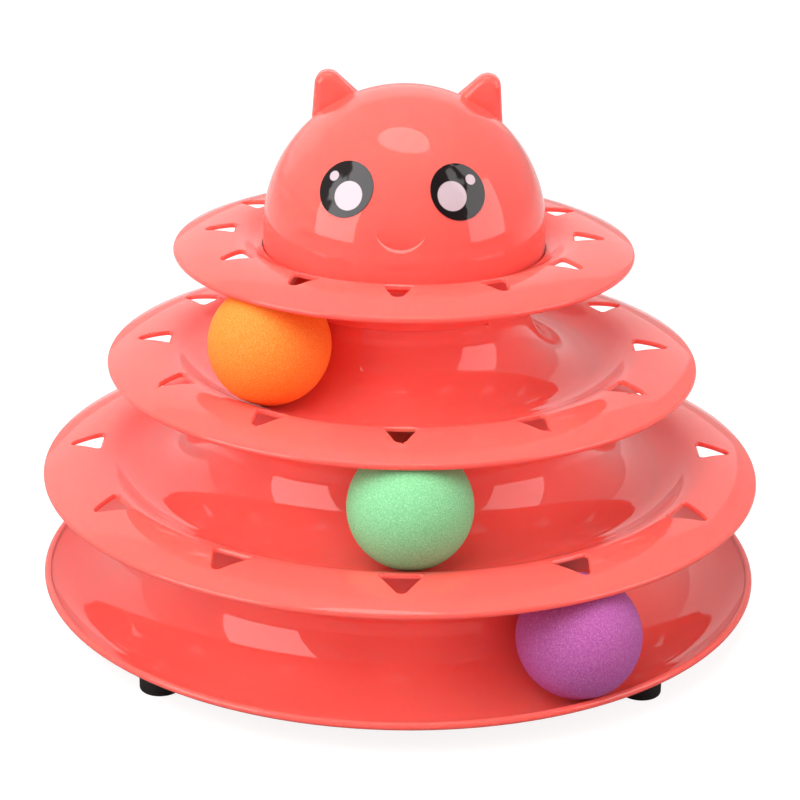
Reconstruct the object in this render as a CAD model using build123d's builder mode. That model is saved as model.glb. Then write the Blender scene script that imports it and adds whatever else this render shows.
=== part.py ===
from build123d import *
from math import asin, atan2, cos, degrees, radians, sin, sqrt, tan
import os

# Cat ball track tower, in millimetres. The floor is at height 0, the axis is Z and the face looks along -Y.

# Shells in general
wall = 1.5                      # thickness of every moulded shell
base_radius = 125.0             # outside of the base tray's rolled lip
tier_setback = 0.7              # how much smaller in radius the lower tier's brim is than the base tray
ring_step_share = 0.184         # how much smaller each ring is than the one below, in shares of base_radius
base_floor = 9.05               # upper face of the base tray's trough above the floor
overrun = 8.0                   # how far a cut runs past the material

# Balls and the room they roll in
ball_diameter = 40.0
ball_lift = 0.3                 # gap under a ball
ball_side_gap = 0.2             # gap between a ball's equator and the skirt's radius beside it
base_head_room = 2.9            # gap over the ball in the base tray
head_room = 1.7                 # gap over the balls in the tiers
ball_height_share = 0.5         # share of the ball's diameter from its bottom to its middle
purple_azimuth = 31.0           # degrees to the right of the front
green_azimuth = 2.2
orange_azimuth = -41.0

# Section of a ring: trough, flank, crest and drooping brim
crest_inset_share = 0.1496      # from the rim in to the crest, in shares of base_radius
flank_run_share = 0.1384        # from the crest in to the trough's lowest circle, in shares of base_radius
trough_margin = 0.3             # from the trough's lowest circle in to the ball's circle
trough_depth = 4.9              # from the crest down to the trough
crest_share = 0.4               # share of the flank's curve that belongs to the crest
brim_round = 40.0               # radius of the drooping brim
rim_depth = 2.4                 # height of the thickened edge of a brim
rim_width = 2.0                 # width of that edge
rim_round = 0.9                 # rounding of the brim's edge
sweep_gap = 0.5                 # how much wider than the ball the sweep up to the column is

# Columns, skirts and keys by which the shells plug together
skirt_gap = 0.3                 # between a column and the skirt around it
skirt_drop = 20.3               # from the crest down to the skirt's lower edge
landing = 5.0                   # width of the landing on top of a column
landing_round = 1.0
seat_gap = 0.1                  # between a landing and the shell that rests on it
key_count = 3
key_angle = -44.0               # degrees from +X to the first key
key_width = 11.0
key_height = 1.8                # height of the notch in the skirt's edge
key_gap = 0.3
key_stand = 1.2                 # how far a key stands out of its column
key_drop = 1.0                  # how far a key reaches below the skirt's edge

# Triangular holes in the brims
hole_count = 12
hole_corner_round = 1.0
hole_tip_round = 2.0
lower_hole_width = 13.4
lower_hole_length = 10.7
lower_hole_setback = 1.2        # from the crest in to a hole's long side
lower_hole_turn = 0.5           # degrees that the ring of holes is turned
middle_hole_width = 10.8
middle_hole_length = 10.9
middle_hole_setback = 2.8
middle_hole_turn = 0.0
top_hole_width = 9.5
top_hole_length = 9.8
top_hole_setback = 2.2
top_hole_turn = -1.5

# Base tray lip and feet
base_ball_inset = 14.0          # from the lip's outside in to the ball's circle
base_flank_round = 21.6
lip_round = 1.3
foot_inset = 0.5                # from the ball's circle in to the feet's circle
foot_angle = 46.1               # degrees from +X to the first foot
foot_count = 4
foot_diameter = 13.8
foot_edge_round = 0.8
foot_roof_gap = 0.1             # between a foot and the tray above it
peg_diameter = 6.0              # of the peg under the tray that a foot is pushed onto
peg_height = 2.6                # end of a peg above the floor
peg_gap = 0.1                   # around a peg in its foot

# Seat of the head in the top ring
seat_share = 0.338              # share of the flank's run at which the socket for the head opens
seat_drop = 2.0                 # from the top ring's trough level down to the seat's floor
socket_gap = 0.45               # around the head
spigot_gap = 0.3                # inside the head
spigot_wall = 2.4
spigot_height = 5.0

# Head, with its features in shares of the dome's radius
head_rise = 9.05                # from the seat's floor up to the dome's middle
head_turn = -1.5                # degrees that the head is turned on its seat
ear_apex_share = 0.637          # from the middle plane to where an ear's two edges would meet
ear_apex_rise_share = 1.176     # from the dome's middle up to there
ear_foot_rise_share = 0.54      # inside the dome
ear_outer_lean = 4.4            # degrees from upright
ear_inner_lean = 45.4
ear_tip_share = 0.094           # rounding of an ear's tip
ear_edge_share = 0.063          # rounding of its edges
ear_front_share = 0.105         # from the middle plane back to an ear's front face
ear_depth_share = 0.12          # from front to back at the height where the edges would meet
ear_back_lean = 20.0            # degrees that an ear's back leans, so that its foot is deeper
flat_offset_share = 0.484       # from the middle plane to the flat in front of an ear
flat_depth_share = 0.0115
mouth_share = 0.191             # radius of the smile
mouth_elevation = 6.9           # degrees up from the dome's middle to the lowest point of the smile
mouth_flare = 45.0              # degrees that the smile's lip leans outward
eye_share = 0.392               # diameter of an eye
eye_azimuth = 25.5
eye_elevation = 28.8
eye_film = 0.25                 # thickness of a sticker
eye_glue = 0.05

# Values that follow from the ones above
ball_radius = ball_diameter * ball_height_share
sweep = ball_radius + sweep_gap
ring_step = base_radius * ring_step_share
crest_inset = base_radius * crest_inset_share
flank_run = base_radius * flank_run_share
ball_inset = crest_inset + flank_run + trough_margin
flank_turn = 2 * atan2(trough_depth, flank_run)
flank_rounds = flank_run / sin(flank_turn)
crest_round = flank_rounds * crest_share
trough_round = flank_rounds - crest_round
brim_turn = asin(crest_inset / brim_round)
brim_fall = brim_round - brim_round * cos(brim_turn)
tier_radius = base_radius - tier_setback
crest_to_ball = ring_step + crest_inset - ball_inset
base_crest_to_ball = base_radius - base_ball_inset - tier_radius + crest_inset
middle_radius = tier_radius - ring_step
top_radius = middle_radius - ring_step


def brim_drop(distance):
    """How far the brim has fallen at a distance outside its crest."""
    return brim_round - sqrt(brim_round ** 2 - distance ** 2)


level_pitch = ball_lift + ball_diameter + head_room + brim_drop(crest_to_ball) + wall - trough_depth
lower_crest = base_floor + ball_lift + ball_diameter + base_head_room + brim_drop(base_crest_to_ball) + wall
middle_crest = lower_crest + level_pitch
top_crest = middle_crest + level_pitch
base_ball_circle = base_radius - base_ball_inset
lower_ball_circle = tier_radius - ball_inset
middle_ball_circle = middle_radius - ball_inset
foot_circle = base_ball_circle - foot_inset
foot_length = base_floor - wall - foot_roof_gap
seat_floor = top_crest - trough_depth - seat_drop
socket_radius = top_radius - crest_inset - flank_run + flank_run * seat_share
head_radius = socket_radius - socket_gap
head_centre = seat_floor + head_rise
ear_apex = head_radius * ear_apex_share
ear_apex_height = head_centre + head_radius * ear_apex_rise_share
ear_foot_height = head_centre + head_radius * ear_foot_rise_share
flat_offset = head_radius * flat_offset_share
flat_depth = head_radius * flat_depth_share
mouth_radius = head_radius * mouth_share


def skirt_radius(ball_circle):
    """Outside of the skirt that stands beside a ball's circle."""
    return ball_circle - ball_radius - ball_side_gap


def column_radius(ball_circle):
    """Outside of the column that stands inside that skirt."""
    return skirt_radius(ball_circle) - wall - skirt_gap


def column_lines(column, top, floor, trough, inset):
    """Landing, column, sweep and trough floor, drawn outward at a depth below the upper face."""
    Polyline((column - landing, top - inset), (column - inset, top - inset), (column - inset, floor + sweep))
    CenterArc((column + sweep, floor + sweep), sweep + inset, 180, 90)
    Line((column + sweep, floor - inset), (trough, floor - inset))


def brim_lines(rim, crest, inset, entry):
    """Flank, crest and brim, drawn outward at a depth below the upper face from an angle up the flank."""
    crest_circle = rim - crest_inset
    trough = crest_circle - flank_run
    floor = crest - trough_depth
    CenterArc((trough, floor + trough_round), trough_round + inset, 270 + entry, degrees(flank_turn) - entry)
    CenterArc((crest_circle, crest - crest_round), crest_round - inset, 90, degrees(flank_turn))
    CenterArc(
        (crest_circle, crest - brim_round), brim_round - inset, 90 - degrees(brim_turn), degrees(brim_turn)
    )


def rim_line(rim, crest):
    """Edge of the brim, square to its droop."""
    upper = (rim, crest - brim_fall)
    Line(upper, (rim - wall * sin(brim_turn), crest - brim_fall - wall * cos(brim_turn)))


def rim_bead(rim, crest):
    """Thickened edge that hangs below the brim, from the middle of the shell down."""
    reach = wall / 2
    with Locations((rim - reach * sin(brim_turn), crest - brim_fall - reach * cos(brim_turn))):
        Rectangle(rim_width, rim_depth - reach, rotation=-degrees(brim_turn), align=(Align.MAX, Align.MAX))


def round_rim(section):
    """Rounds both corners of the brim's edge."""
    fillet(section.vertices().sort_by(Axis.X)[-2:], rim_round)


def round_landing(section, column, top):
    """Rounds the outer corner of a column's top."""
    fillet(section.vertices().sort_by_distance((column, top))[0], landing_round)


def shell_middle(radius, trough, floor):
    """Height of the middle of a ring's shell, in its trough or up its flank."""
    reach = max(0, radius - trough)
    return floor + trough_round - sqrt((trough_round + wall / 2) ** 2 - reach ** 2)


def skirt_rectangle(ball_circle, bottom, top):
    """Section of the skirt that plugs over the column below."""
    with Locations((skirt_radius(ball_circle), bottom)):
        Rectangle(wall, top - bottom, align=(Align.MAX, Align.MIN))


def cut_notches(ball_circle, bottom):
    """Cuts the key notches into a skirt's lower edge."""
    with Locations((0, 0, bottom)):
        with PolarLocations(skirt_radius(ball_circle) - wall / 2, key_count, start_angle=key_angle):
            Box(
                wall + overrun,
                key_width,
                2 * key_height,
                mode=Mode.SUBTRACT,
            )


def add_keys(ball_circle, bottom):
    """Adds the keys on a column that the notches of the skirt drop over."""
    with Locations((0, 0, bottom + key_height - key_gap)):
        with PolarLocations(column_radius(ball_circle) - wall / 2, key_count, start_angle=key_angle):
            Box(
                wall / 2 + key_stand,
                key_width - 2 * key_gap,
                key_height - key_gap + key_drop,
                align=(Align.MIN, Align.CENTER, Align.MAX),
            )


def cut_holes(rim, crest, width, length, setback, turn):
    """Cuts the ring of rounded triangular holes, one of them at the front but for a small turn."""
    side = rim - crest_inset - setback
    with BuildSketch() as hole:
        with Locations(
            (side + hole_corner_round, width / 2 - hole_corner_round),
            (side + hole_corner_round, hole_corner_round - width / 2),
        ):
            Circle(hole_corner_round)
        with Locations((side + length - hole_tip_round, 0)):
            Circle(hole_tip_round)
        make_hull()
    with BuildSketch(Plane.XY.offset(crest + overrun)) as holes:
        with PolarLocations(0, hole_count, start_angle=turn - 90):
            add(hole.sketch)
    extrude(holes.sketch, amount=-brim_fall - wall - 2 * overrun, mode=Mode.SUBTRACT)


def save(piece, name):
    """Labels a piece and writes it out."""
    piece.part.label = name
    export_step(piece.part, f"parts/{name}.step")


def make_base():
    """Base tray: dish with a rolled lip, column, keys and pegs for the feet."""
    column = column_radius(base_ball_circle)
    trough = base_ball_circle + trough_margin
    top = lower_crest - trough_depth - wall - seat_gap
    lip_circle = base_radius - lip_round
    turn = asin((lip_circle - trough) / (base_flank_round + wall / 2))
    centre_height = base_floor + base_flank_round
    lip_height = centre_height - (base_flank_round + wall / 2) * cos(turn)
    under_round = base_flank_round + wall
    with BuildPart() as base:
        with BuildSketch(Plane.XZ) as section:
            with BuildLine():
                column_lines(column, top, base_floor, trough, 0)
                CenterArc((trough, centre_height), base_flank_round, 270, degrees(turn))
                Line(
                    (trough + base_flank_round * sin(turn), centre_height - base_flank_round * cos(turn)),
                    (trough + under_round * sin(turn), centre_height - under_round * cos(turn)),
                )
                CenterArc((trough, centre_height), under_round, 270, degrees(turn))
                column_lines(column, top, base_floor, trough, wall)
                Line((column - landing, top), (column - landing, top - wall))
            make_face()
            round_landing(section, column, top)
            with Locations((lip_circle, lip_height)):
                Circle(lip_round)
        revolve(axis=Axis.Z)
        add_keys(base_ball_circle, lower_crest - skirt_drop)
        with Locations((0, 0, peg_height)):
            with PolarLocations(foot_circle, foot_count, start_angle=foot_angle):
                Cylinder(
                    peg_diameter / 2,
                    base_floor - wall / 2 - peg_height,
                    align=(Align.CENTER, Align.CENTER, Align.MIN),
                )
    return base


def make_tier(rim, crest, ball_circle, ball_circle_below, top):
    """A tier without its holes: brim, trough, column for the ring above and skirt for the column below."""
    column = column_radius(ball_circle)
    floor = crest - trough_depth
    trough = ball_circle + trough_margin
    skirt_bottom = crest - skirt_drop
    skirt_top = shell_middle(skirt_radius(ball_circle_below) - wall / 2, trough, floor)
    with BuildPart() as tier:
        with BuildSketch(Plane.XZ) as section:
            with BuildLine():
                column_lines(column, top, floor, trough, 0)
                brim_lines(rim, crest, 0, 0)
                rim_line(rim, crest)
                brim_lines(rim, crest, wall, 0)
                column_lines(column, top, floor, trough, wall)
                Line((column - landing, top), (column - landing, top - wall))
            make_face()
            rim_bead(rim, crest)
            round_rim(section)
            round_landing(section, column, top)
            skirt_rectangle(ball_circle_below, skirt_bottom, skirt_top)
        revolve(axis=Axis.Z)
        cut_notches(ball_circle_below, skirt_bottom)
        add_keys(ball_circle, skirt_bottom + level_pitch)
    return tier


def make_top_ring():
    """Top ring: holed brim with a channel and spigot that hold the head, and a skirt."""
    spigot = head_radius - wall - spigot_gap
    trough = top_radius - ball_inset + trough_margin
    floor = top_crest - trough_depth
    entry = asin((socket_radius - trough) / trough_round)
    entry_height = floor + trough_round - trough_round * cos(entry)
    under_round = trough_round + wall
    shelf = column_radius(middle_ball_circle) - landing
    skirt_bottom = top_crest - skirt_drop
    with BuildPart() as ring:
        with BuildSketch(Plane.XZ) as section:
            with BuildLine():
                brim_lines(top_radius, top_crest, 0, degrees(entry))
                rim_line(top_radius, top_crest)
                brim_lines(top_radius, top_crest, wall, degrees(entry))
                Line(
                    (socket_radius, entry_height),
                    (trough + under_round * sin(entry), floor + trough_round - under_round * cos(entry)),
                )
            make_face()
            rim_bead(top_radius, top_crest)
            round_rim(section)
            with Locations((socket_radius, entry_height)):
                Rectangle(wall, entry_height - seat_floor + wall, align=(Align.MIN, Align.MAX))
            with Locations((shelf, seat_floor)):
                Rectangle(socket_radius + wall - shelf, wall, align=(Align.MIN, Align.MAX))
            with Locations((spigot, seat_floor)):
                Rectangle(spigot_wall, spigot_height, align=(Align.MAX, Align.MIN))
            skirt_rectangle(middle_ball_circle, skirt_bottom, seat_floor - wall / 2)
        revolve(axis=Axis.Z)
        cut_holes(top_radius, top_crest, top_hole_width, top_hole_length, top_hole_setback, top_hole_turn)
        cut_notches(middle_ball_circle, skirt_bottom)
    return ring


def direction(azimuth, elevation):
    """Unit vector at an azimuth to the right of the front and an elevation above level."""
    across = sin(radians(azimuth)) * cos(radians(elevation))
    ahead = cos(radians(azimuth)) * cos(radians(elevation))
    return Vector(across, -ahead, sin(radians(elevation)))


def make_ear(side):
    """One ear with a rounded tip and rounded edges, down to inside the dome."""
    height = ear_apex_height - ear_foot_height
    outer = ear_apex + height * tan(radians(ear_outer_lean))
    inner = ear_apex - height * tan(radians(ear_inner_lean))
    front = head_radius * ear_front_share
    depth = head_radius * ear_depth_share
    back_normal = (0, cos(radians(ear_back_lean)), sin(radians(ear_back_lean)))
    with BuildPart() as ear:
        with BuildSketch(Plane((0, front, 0), x_dir=(-1, 0, 0), z_dir=(0, 1, 0))) as outline:
            with BuildLine():
                Polyline(
                    (side * ear_apex, ear_apex_height),
                    (side * outer, ear_foot_height),
                    (side * inner, ear_foot_height),
                    close=True,
                )
            make_face()
            fillet(outline.vertices().sort_by(Axis.Y)[-1], head_radius * ear_tip_share)
        extrude(amount=depth + height * tan(radians(ear_back_lean)))
        split(bisect_by=Plane((0, front + depth, ear_apex_height), z_dir=back_normal), keep=Keep.BOTTOM)
        fillet(ear.faces().sort_by(Axis.Y)[0].edges(), head_radius * ear_edge_share)
        fillet(ear.faces().sort_by(Axis.Y)[-1].edges(), head_radius * ear_edge_share)
    return ear


def dome_section(radius, bottom):
    """Half section of a dome on a straight skirt."""
    CenterArc((0, head_centre), radius, 0, 90)
    Polyline((radius, head_centre), (radius, bottom), (0, bottom), (0, head_centre + radius))


def make_head():
    """Head: hollow dome with two ears, a flat in front of each ear and a smile pressed in."""
    centre = Vector(0, 0, head_centre)
    flat_height = sqrt(head_radius ** 2 - flat_offset ** 2)
    flat_reach = sqrt(2 * head_radius * flat_depth) + overrun
    mouth_turn = asin(mouth_radius / head_radius)
    mouth = direction(0, mouth_elevation)
    mouth_foot = centre + mouth * (head_radius * cos(mouth_turn))
    bottom = seat_floor + seat_gap
    ears = (make_ear(-1), make_ear(1))
    with BuildPart() as head:
        with BuildSketch(Plane.XZ):
            with BuildLine():
                dome_section(head_radius, bottom)
            make_face()
        revolve(axis=Axis.Z)
        for side in (-1, 1):
            normal = Vector(side * flat_offset, 0, flat_height).normalized()
            with BuildSketch(Plane(centre + normal * (head_radius - flat_depth), z_dir=normal)):
                Circle(flat_reach)
            extrude(amount=overrun, mode=Mode.SUBTRACT)
        for ear in ears:
            add(ear.part)
        with BuildSketch(Plane(mouth_foot, x_dir=(1, 0, 0), z_dir=mouth)):
            with Locations((0, mouth_radius)):
                Circle(mouth_radius)
        extrude(amount=overrun, taper=-mouth_flare, mode=Mode.SUBTRACT)
        with BuildSketch(Plane.XZ):
            with BuildLine():
                dome_section(head_radius - wall, bottom)
            make_face()
        revolve(axis=Axis.Z, mode=Mode.SUBTRACT)
    with BuildPart() as turned_head:
        add(head.part, rotation=(0, 0, head_turn))
    return turned_head


def make_eye(azimuth):
    """Round sticker that follows the dome."""
    with BuildPart() as eye:
        with Locations((0, 0, head_centre)):
            Sphere(head_radius + eye_glue + eye_film)
            Sphere(head_radius + eye_glue, mode=Mode.SUBTRACT)
        with Locations(Plane((0, 0, head_centre), z_dir=direction(head_turn + azimuth, eye_elevation))):
            Cylinder(
                head_radius * eye_share / 2,
                head_radius + overrun,
                align=(Align.CENTER, Align.CENTER, Align.MIN),
                mode=Mode.INTERSECT,
            )
    return eye


def make_ball(circle, floor, azimuth):
    """Foam ball standing in its trough."""
    place = direction(azimuth, 0) * circle
    with BuildPart() as ball:
        with Locations((place.X, place.Y, floor + ball_lift + ball_radius)):
            Sphere(ball_radius)
    return ball


def make_foot(angle):
    """Rubber foot pushed onto its peg."""
    with BuildPart() as foot:
        with PolarLocations(foot_circle, 1, start_angle=angle):
            Cylinder(foot_diameter / 2, foot_length, align=(Align.CENTER, Align.CENTER, Align.MIN))
        fillet(foot.edges().sort_by(Axis.Z)[0], foot_edge_round)
        with Locations((0, 0, foot_length)):
            with PolarLocations(foot_circle, 1, start_angle=angle):
                Cylinder(
                    peg_diameter / 2 + peg_gap,
                    foot_length - peg_height + peg_gap,
                    align=(Align.CENTER, Align.CENTER, Align.MAX),
                    mode=Mode.SUBTRACT,
                )
    return foot


os.makedirs("parts", exist_ok=True)

middle_top = middle_crest - trough_depth - wall - seat_gap
ring_top = seat_floor - wall - seat_gap

with BuildPart() as lower_tier:
    add(make_tier(tier_radius, lower_crest, lower_ball_circle, base_ball_circle, middle_top).part)
    cut_holes(
        tier_radius,
        lower_crest,
        lower_hole_width,
        lower_hole_length,
        lower_hole_setback,
        lower_hole_turn,
    )
with BuildPart() as middle_tier:
    add(make_tier(middle_radius, middle_crest, middle_ball_circle, lower_ball_circle, ring_top).part)
    cut_holes(
        middle_radius,
        middle_crest,
        middle_hole_width,
        middle_hole_length,
        middle_hole_setback,
        middle_hole_turn,
    )

save(make_base(), "base_tray")
save(lower_tier, "lower_tier")
save(middle_tier, "middle_tier")
save(make_top_ring(), "top_ring")
save(make_head(), "head_cap")
save(make_eye(-eye_azimuth), "left_eye")
save(make_eye(eye_azimuth), "right_eye")
save(make_ball(base_ball_circle, base_floor, purple_azimuth), "purple_ball")
save(make_ball(lower_ball_circle, lower_crest - trough_depth, green_azimuth), "green_ball")
save(make_ball(middle_ball_circle, middle_crest - trough_depth, orange_azimuth), "orange_ball")
foot_names = ("back_right_foot", "back_left_foot", "front_left_foot", "front_right_foot")
for index, name in enumerate(foot_names):
    save(make_foot(foot_angle + index * 360 / foot_count), name)
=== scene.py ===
import logging
import math
from dataclasses import dataclass, field
from enum import Enum

import bmesh
import bpy
import numpy as np
from bpy.types import Material, Mesh, Node, NodeSocket, NodeTree, Object
from mathutils import Matrix, Vector
from mathutils.geometry import delaunay_2d_cdt


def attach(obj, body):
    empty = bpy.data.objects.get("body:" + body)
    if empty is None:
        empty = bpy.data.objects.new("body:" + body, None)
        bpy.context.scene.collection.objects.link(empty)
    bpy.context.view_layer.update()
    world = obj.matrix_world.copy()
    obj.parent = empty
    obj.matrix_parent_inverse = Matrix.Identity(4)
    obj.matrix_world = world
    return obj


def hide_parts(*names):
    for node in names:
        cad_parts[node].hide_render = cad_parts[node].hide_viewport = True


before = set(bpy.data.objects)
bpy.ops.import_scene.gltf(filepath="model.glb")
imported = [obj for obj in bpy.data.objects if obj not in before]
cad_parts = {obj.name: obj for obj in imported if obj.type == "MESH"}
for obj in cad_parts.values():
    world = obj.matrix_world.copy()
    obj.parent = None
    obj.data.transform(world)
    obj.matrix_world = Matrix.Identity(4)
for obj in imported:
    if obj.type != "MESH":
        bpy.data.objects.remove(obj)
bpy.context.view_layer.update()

LOG = logging.getLogger("cat_ball_tower")
MM = 0.001
# Corners closer than this are one corner.
WELD = 0.002 * MM
# Longest straight piece of a section, in millimetres.
LINE_STEP = 12.0
# Longest steps on a large curve of a section and on a small rounded edge, in degrees.
CURVE_STEP = 2.5
EDGE_STEP = 15.0
# Mark of the faces that lie on no stretch of a section.
FREE_MARK = -1
# Place of the colour among a Mix node's outputs.
MIX_COLOUR = 2

Pair = tuple[float, float]
Triple = tuple[float, float, float]
Face = tuple[int, ...]


class Slot(Enum):
    """Names of the record's material slots, one for each kind of new piece."""

    SHELL = "coral_shell"
    EYE = "eye_sticker"
    PURPLE = "purple_foam"
    GREEN = "green_foam"
    ORANGE = "orange_foam"


def linear(code: str) -> tuple[float, float, float, float]:
    """Turns an sRGB hex code into linear colour.

    Args:
        code: Colour such as "#FF8040".

    Returns:
        Red, green, blue and alpha in linear light.
    """
    channels = []
    for start in (1, 3, 5):
        value = int(code[start:start + 2], 16) / 255.0
        channels.append(value / 12.92 if value <= 0.04045 else ((value + 0.055) / 1.055) ** 2.4)
    return channels[0], channels[1], channels[2], 1.0


def add_node(tree: NodeTree, kind: str, *values: object, **settings: object) -> Node:
    """Adds one node with its settings and links.

    Args:
        tree: Tree that gets the node.
        kind: Node type name.
        values: Inputs in their order, each a value or the socket that it is linked from.
        settings: Node properties, or inputs by name or identifier, with underscores for spaces.

    Returns:
        The new node.
    """
    node = tree.nodes.new(kind)
    inputs = {}
    for key, value in settings.items():
        if hasattr(node, key):
            setattr(node, key, value)
        else:
            name = key.replace("_", " ")
            socket = next(spot for spot in node.inputs if name == spot.name or key == spot.identifier)
            inputs[socket] = value
    inputs.update(zip(node.inputs, values))
    for socket, value in inputs.items():
        if isinstance(value, NodeSocket):
            tree.links.new(value, socket)
        else:
            socket.default_value = value
    return node


def new_material(name: str) -> tuple[Material, NodeTree]:
    """Makes an empty node material.

    Args:
        name: Name of the real material.

    Returns:
        The material and its tree.
    """
    material = bpy.data.materials.new(name)
    material.use_nodes = True
    material.node_tree.nodes.clear()
    return material, material.node_tree


@dataclass(frozen=True)
class PlasticFinish:
    """Glossy injection-moulded plastic: a clear mirror skin over coral that glows red in its shade."""

    name: str
    colour: str
    flow_colour: str
    roughness: float
    flow_mm: float
    depth_mm: float
    ripple_mm: float
    ripple_rise_mm: float
    roughness_span: float = 0.03
    ior: float = 1.49
    glow: float = 0.7
    glow_reach: Triple = (1.0, 0.12, 0.06)

    def material(self) -> Material:
        """Makes the plastic, with faint flow marks in its tone and gloss, and low ripples on its skin.

        Returns:
            The material.
        """
        material, tree = new_material(self.name)
        place = add_node(tree, "ShaderNodeTexCoord").outputs["Object"]
        flow = add_node(tree, "ShaderNodeTexNoise", Vector=place, Scale=1.0 / (self.flow_mm * MM), Detail=2.0)
        marks = flow.outputs["Fac"]
        tone = add_node(
            tree, "ShaderNodeMix", data_type="RGBA", Factor_Float=marks,
            A_Color=linear(self.colour), B_Color=linear(self.flow_colour),
        )
        gloss = add_node(
            tree, "ShaderNodeMapRange", Value=marks,
            To_Min=self.roughness, To_Max=self.roughness + self.roughness_span,
        )
        scale, rise = 1.0 / (self.ripple_mm * MM), self.ripple_rise_mm * MM
        ripple = add_node(tree, "ShaderNodeTexNoise", Vector=place, Scale=scale, Detail=1.0)
        bump = add_node(tree, "ShaderNodeBump", Strength=1.0, Distance=rise, Height=ripple.outputs["Fac"])
        shader = add_node(
            tree, "ShaderNodeBsdfPrincipled", Base_Color=tone.outputs[MIX_COLOUR],
            Roughness=gloss.outputs["Result"], Normal=bump.outputs["Normal"], IOR=self.ior,
            Subsurface_Weight=self.glow, Subsurface_Radius=self.glow_reach,
            Subsurface_Scale=self.depth_mm * MM,
        )
        add_node(tree, "ShaderNodeOutputMaterial", Surface=shader.outputs["BSDF"])
        return material


@dataclass(frozen=True)
class FoamFinish:
    """Fine-celled foam rubber: dull, with a dusty speckle of lighter and darker cells."""

    name: str
    colour: str
    dark: str
    light: str
    cell_mm: float = 0.42
    cell_rise_mm: float = 0.1
    tone_places: Triple = (0.3, 0.5, 0.72)
    roughness: float = 0.72
    sheen_level: float = 0.3

    def material(self) -> Material:
        """Makes the foam.

        Returns:
            The material.
        """
        material, tree = new_material(self.name)
        place = add_node(tree, "ShaderNodeTexCoord").outputs["Object"]
        scale = 1.0 / (self.cell_mm * MM)
        noise = add_node(tree, "ShaderNodeTexNoise", Vector=place, Scale=scale, Detail=3.0, Roughness=0.6)
        cells = noise.outputs["Fac"]
        ramp = add_node(tree, "ShaderNodeValToRGB", Fac=cells)
        tones = ramp.color_ramp.elements
        tones.new(self.tone_places[1])
        for tone, where, code in zip(tones, self.tone_places, (self.dark, self.colour, self.light)):
            tone.position = where
            tone.color = linear(code)
        bump = add_node(tree, "ShaderNodeBump", Strength=0.2, Distance=self.cell_rise_mm * MM, Height=cells)
        shader = add_node(
            tree, "ShaderNodeBsdfPrincipled", Base_Color=ramp.outputs["Color"], Normal=bump.outputs["Normal"],
            Roughness=self.roughness, Specular_IOR_Level=self.sheen_level,
        )
        add_node(tree, "ShaderNodeOutputMaterial", Surface=shader.outputs["BSDF"])
        return material


@dataclass(frozen=True)
class RubberFinish:
    """Moulded rubber: nearly black and dull, with a fine grain."""

    name: str
    colour: str
    roughness: float
    grain_mm: float
    grain_rise_mm: float = 0.05

    def material(self) -> Material:
        """Makes the rubber.

        Returns:
            The material.
        """
        material, tree = new_material(self.name)
        place = add_node(tree, "ShaderNodeTexCoord").outputs["Object"]
        scale, rise = 1.0 / (self.grain_mm * MM), self.grain_rise_mm * MM
        grain = add_node(tree, "ShaderNodeTexNoise", Vector=place, Scale=scale, Detail=2.0)
        bump = add_node(tree, "ShaderNodeBump", Strength=0.3, Distance=rise, Height=grain.outputs["Fac"])
        shader = add_node(
            tree, "ShaderNodeBsdfPrincipled", Base_Color=linear(self.colour), Roughness=self.roughness,
            Normal=bump.outputs["Normal"],
        )
        add_node(tree, "ShaderNodeOutputMaterial", Surface=shader.outputs["BSDF"])
        return material


@dataclass(frozen=True)
class StickerFinish:
    """Eye print: a near-black disc with two pale spots under a shiny film that lies a little wavy.

    A spot is its middle across and up and its radius, in shares of the sticker's radius.
    """

    name: str
    big_spot: Triple
    small_spot: Triple
    wave_seed: float
    ink: str = "#160C0D"
    white: str = "#C8BBC2"
    wave_mm: float = 9.0
    wave_rise_mm: float = 0.6
    roughness: float = 0.06
    ior: float = 1.5
    spot_blur: float = 0.006

    def material(self) -> Material:
        """Makes the printed film.

        Returns:
            The material.
        """
        material, tree = new_material(self.name)
        flat = add_node(tree, "ShaderNodeUVMap", uv_map="sticker").outputs["UV"]
        colour = linear(self.ink)
        for across, up, radius in (self.big_spot, self.small_spot):
            middle = (0.5 + across / 2, 0.5 + up / 2, 0.0)
            distance = add_node(tree, "ShaderNodeVectorMath", flat, middle, operation="DISTANCE")
            edge = add_node(
                tree, "ShaderNodeMapRange", Value=distance.outputs["Value"],
                From_Min=radius / 2 + self.spot_blur, From_Max=radius / 2 - self.spot_blur,
            )
            spot = add_node(
                tree, "ShaderNodeMix", data_type="RGBA", Factor_Float=edge.outputs["Result"],
                A_Color=colour, B_Color=linear(self.white),
            )
            colour = spot.outputs[MIX_COLOUR]
        place = add_node(tree, "ShaderNodeTexCoord").outputs["Object"]
        wave = add_node(
            tree, "ShaderNodeTexNoise", noise_dimensions="4D", Vector=place, W=self.wave_seed,
            Scale=1.0 / (self.wave_mm * MM), Detail=1.5, Roughness=0.4,
        )
        rise = self.wave_rise_mm * MM
        bump = add_node(tree, "ShaderNodeBump", Strength=1.0, Distance=rise, Height=wave.outputs["Fac"])
        shader = add_node(
            tree, "ShaderNodeBsdfPrincipled", Base_Color=colour, Roughness=self.roughness, IOR=self.ior,
            Normal=bump.outputs["Normal"],
        )
        add_node(tree, "ShaderNodeOutputMaterial", Surface=shader.outputs["BSDF"])
        return material


# Moulded in a polished tool, so the shells mirror the studio sharply, and their thin walls glow in the shade.
CORAL = PlasticFinish(
    "Glossy coral polypropylene", "#FF6B62", "#FF665C",
    roughness=0.03, flow_mm=45.0, depth_mm=2.4, ripple_mm=16.0, ripple_rise_mm=0.03,
)
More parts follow.
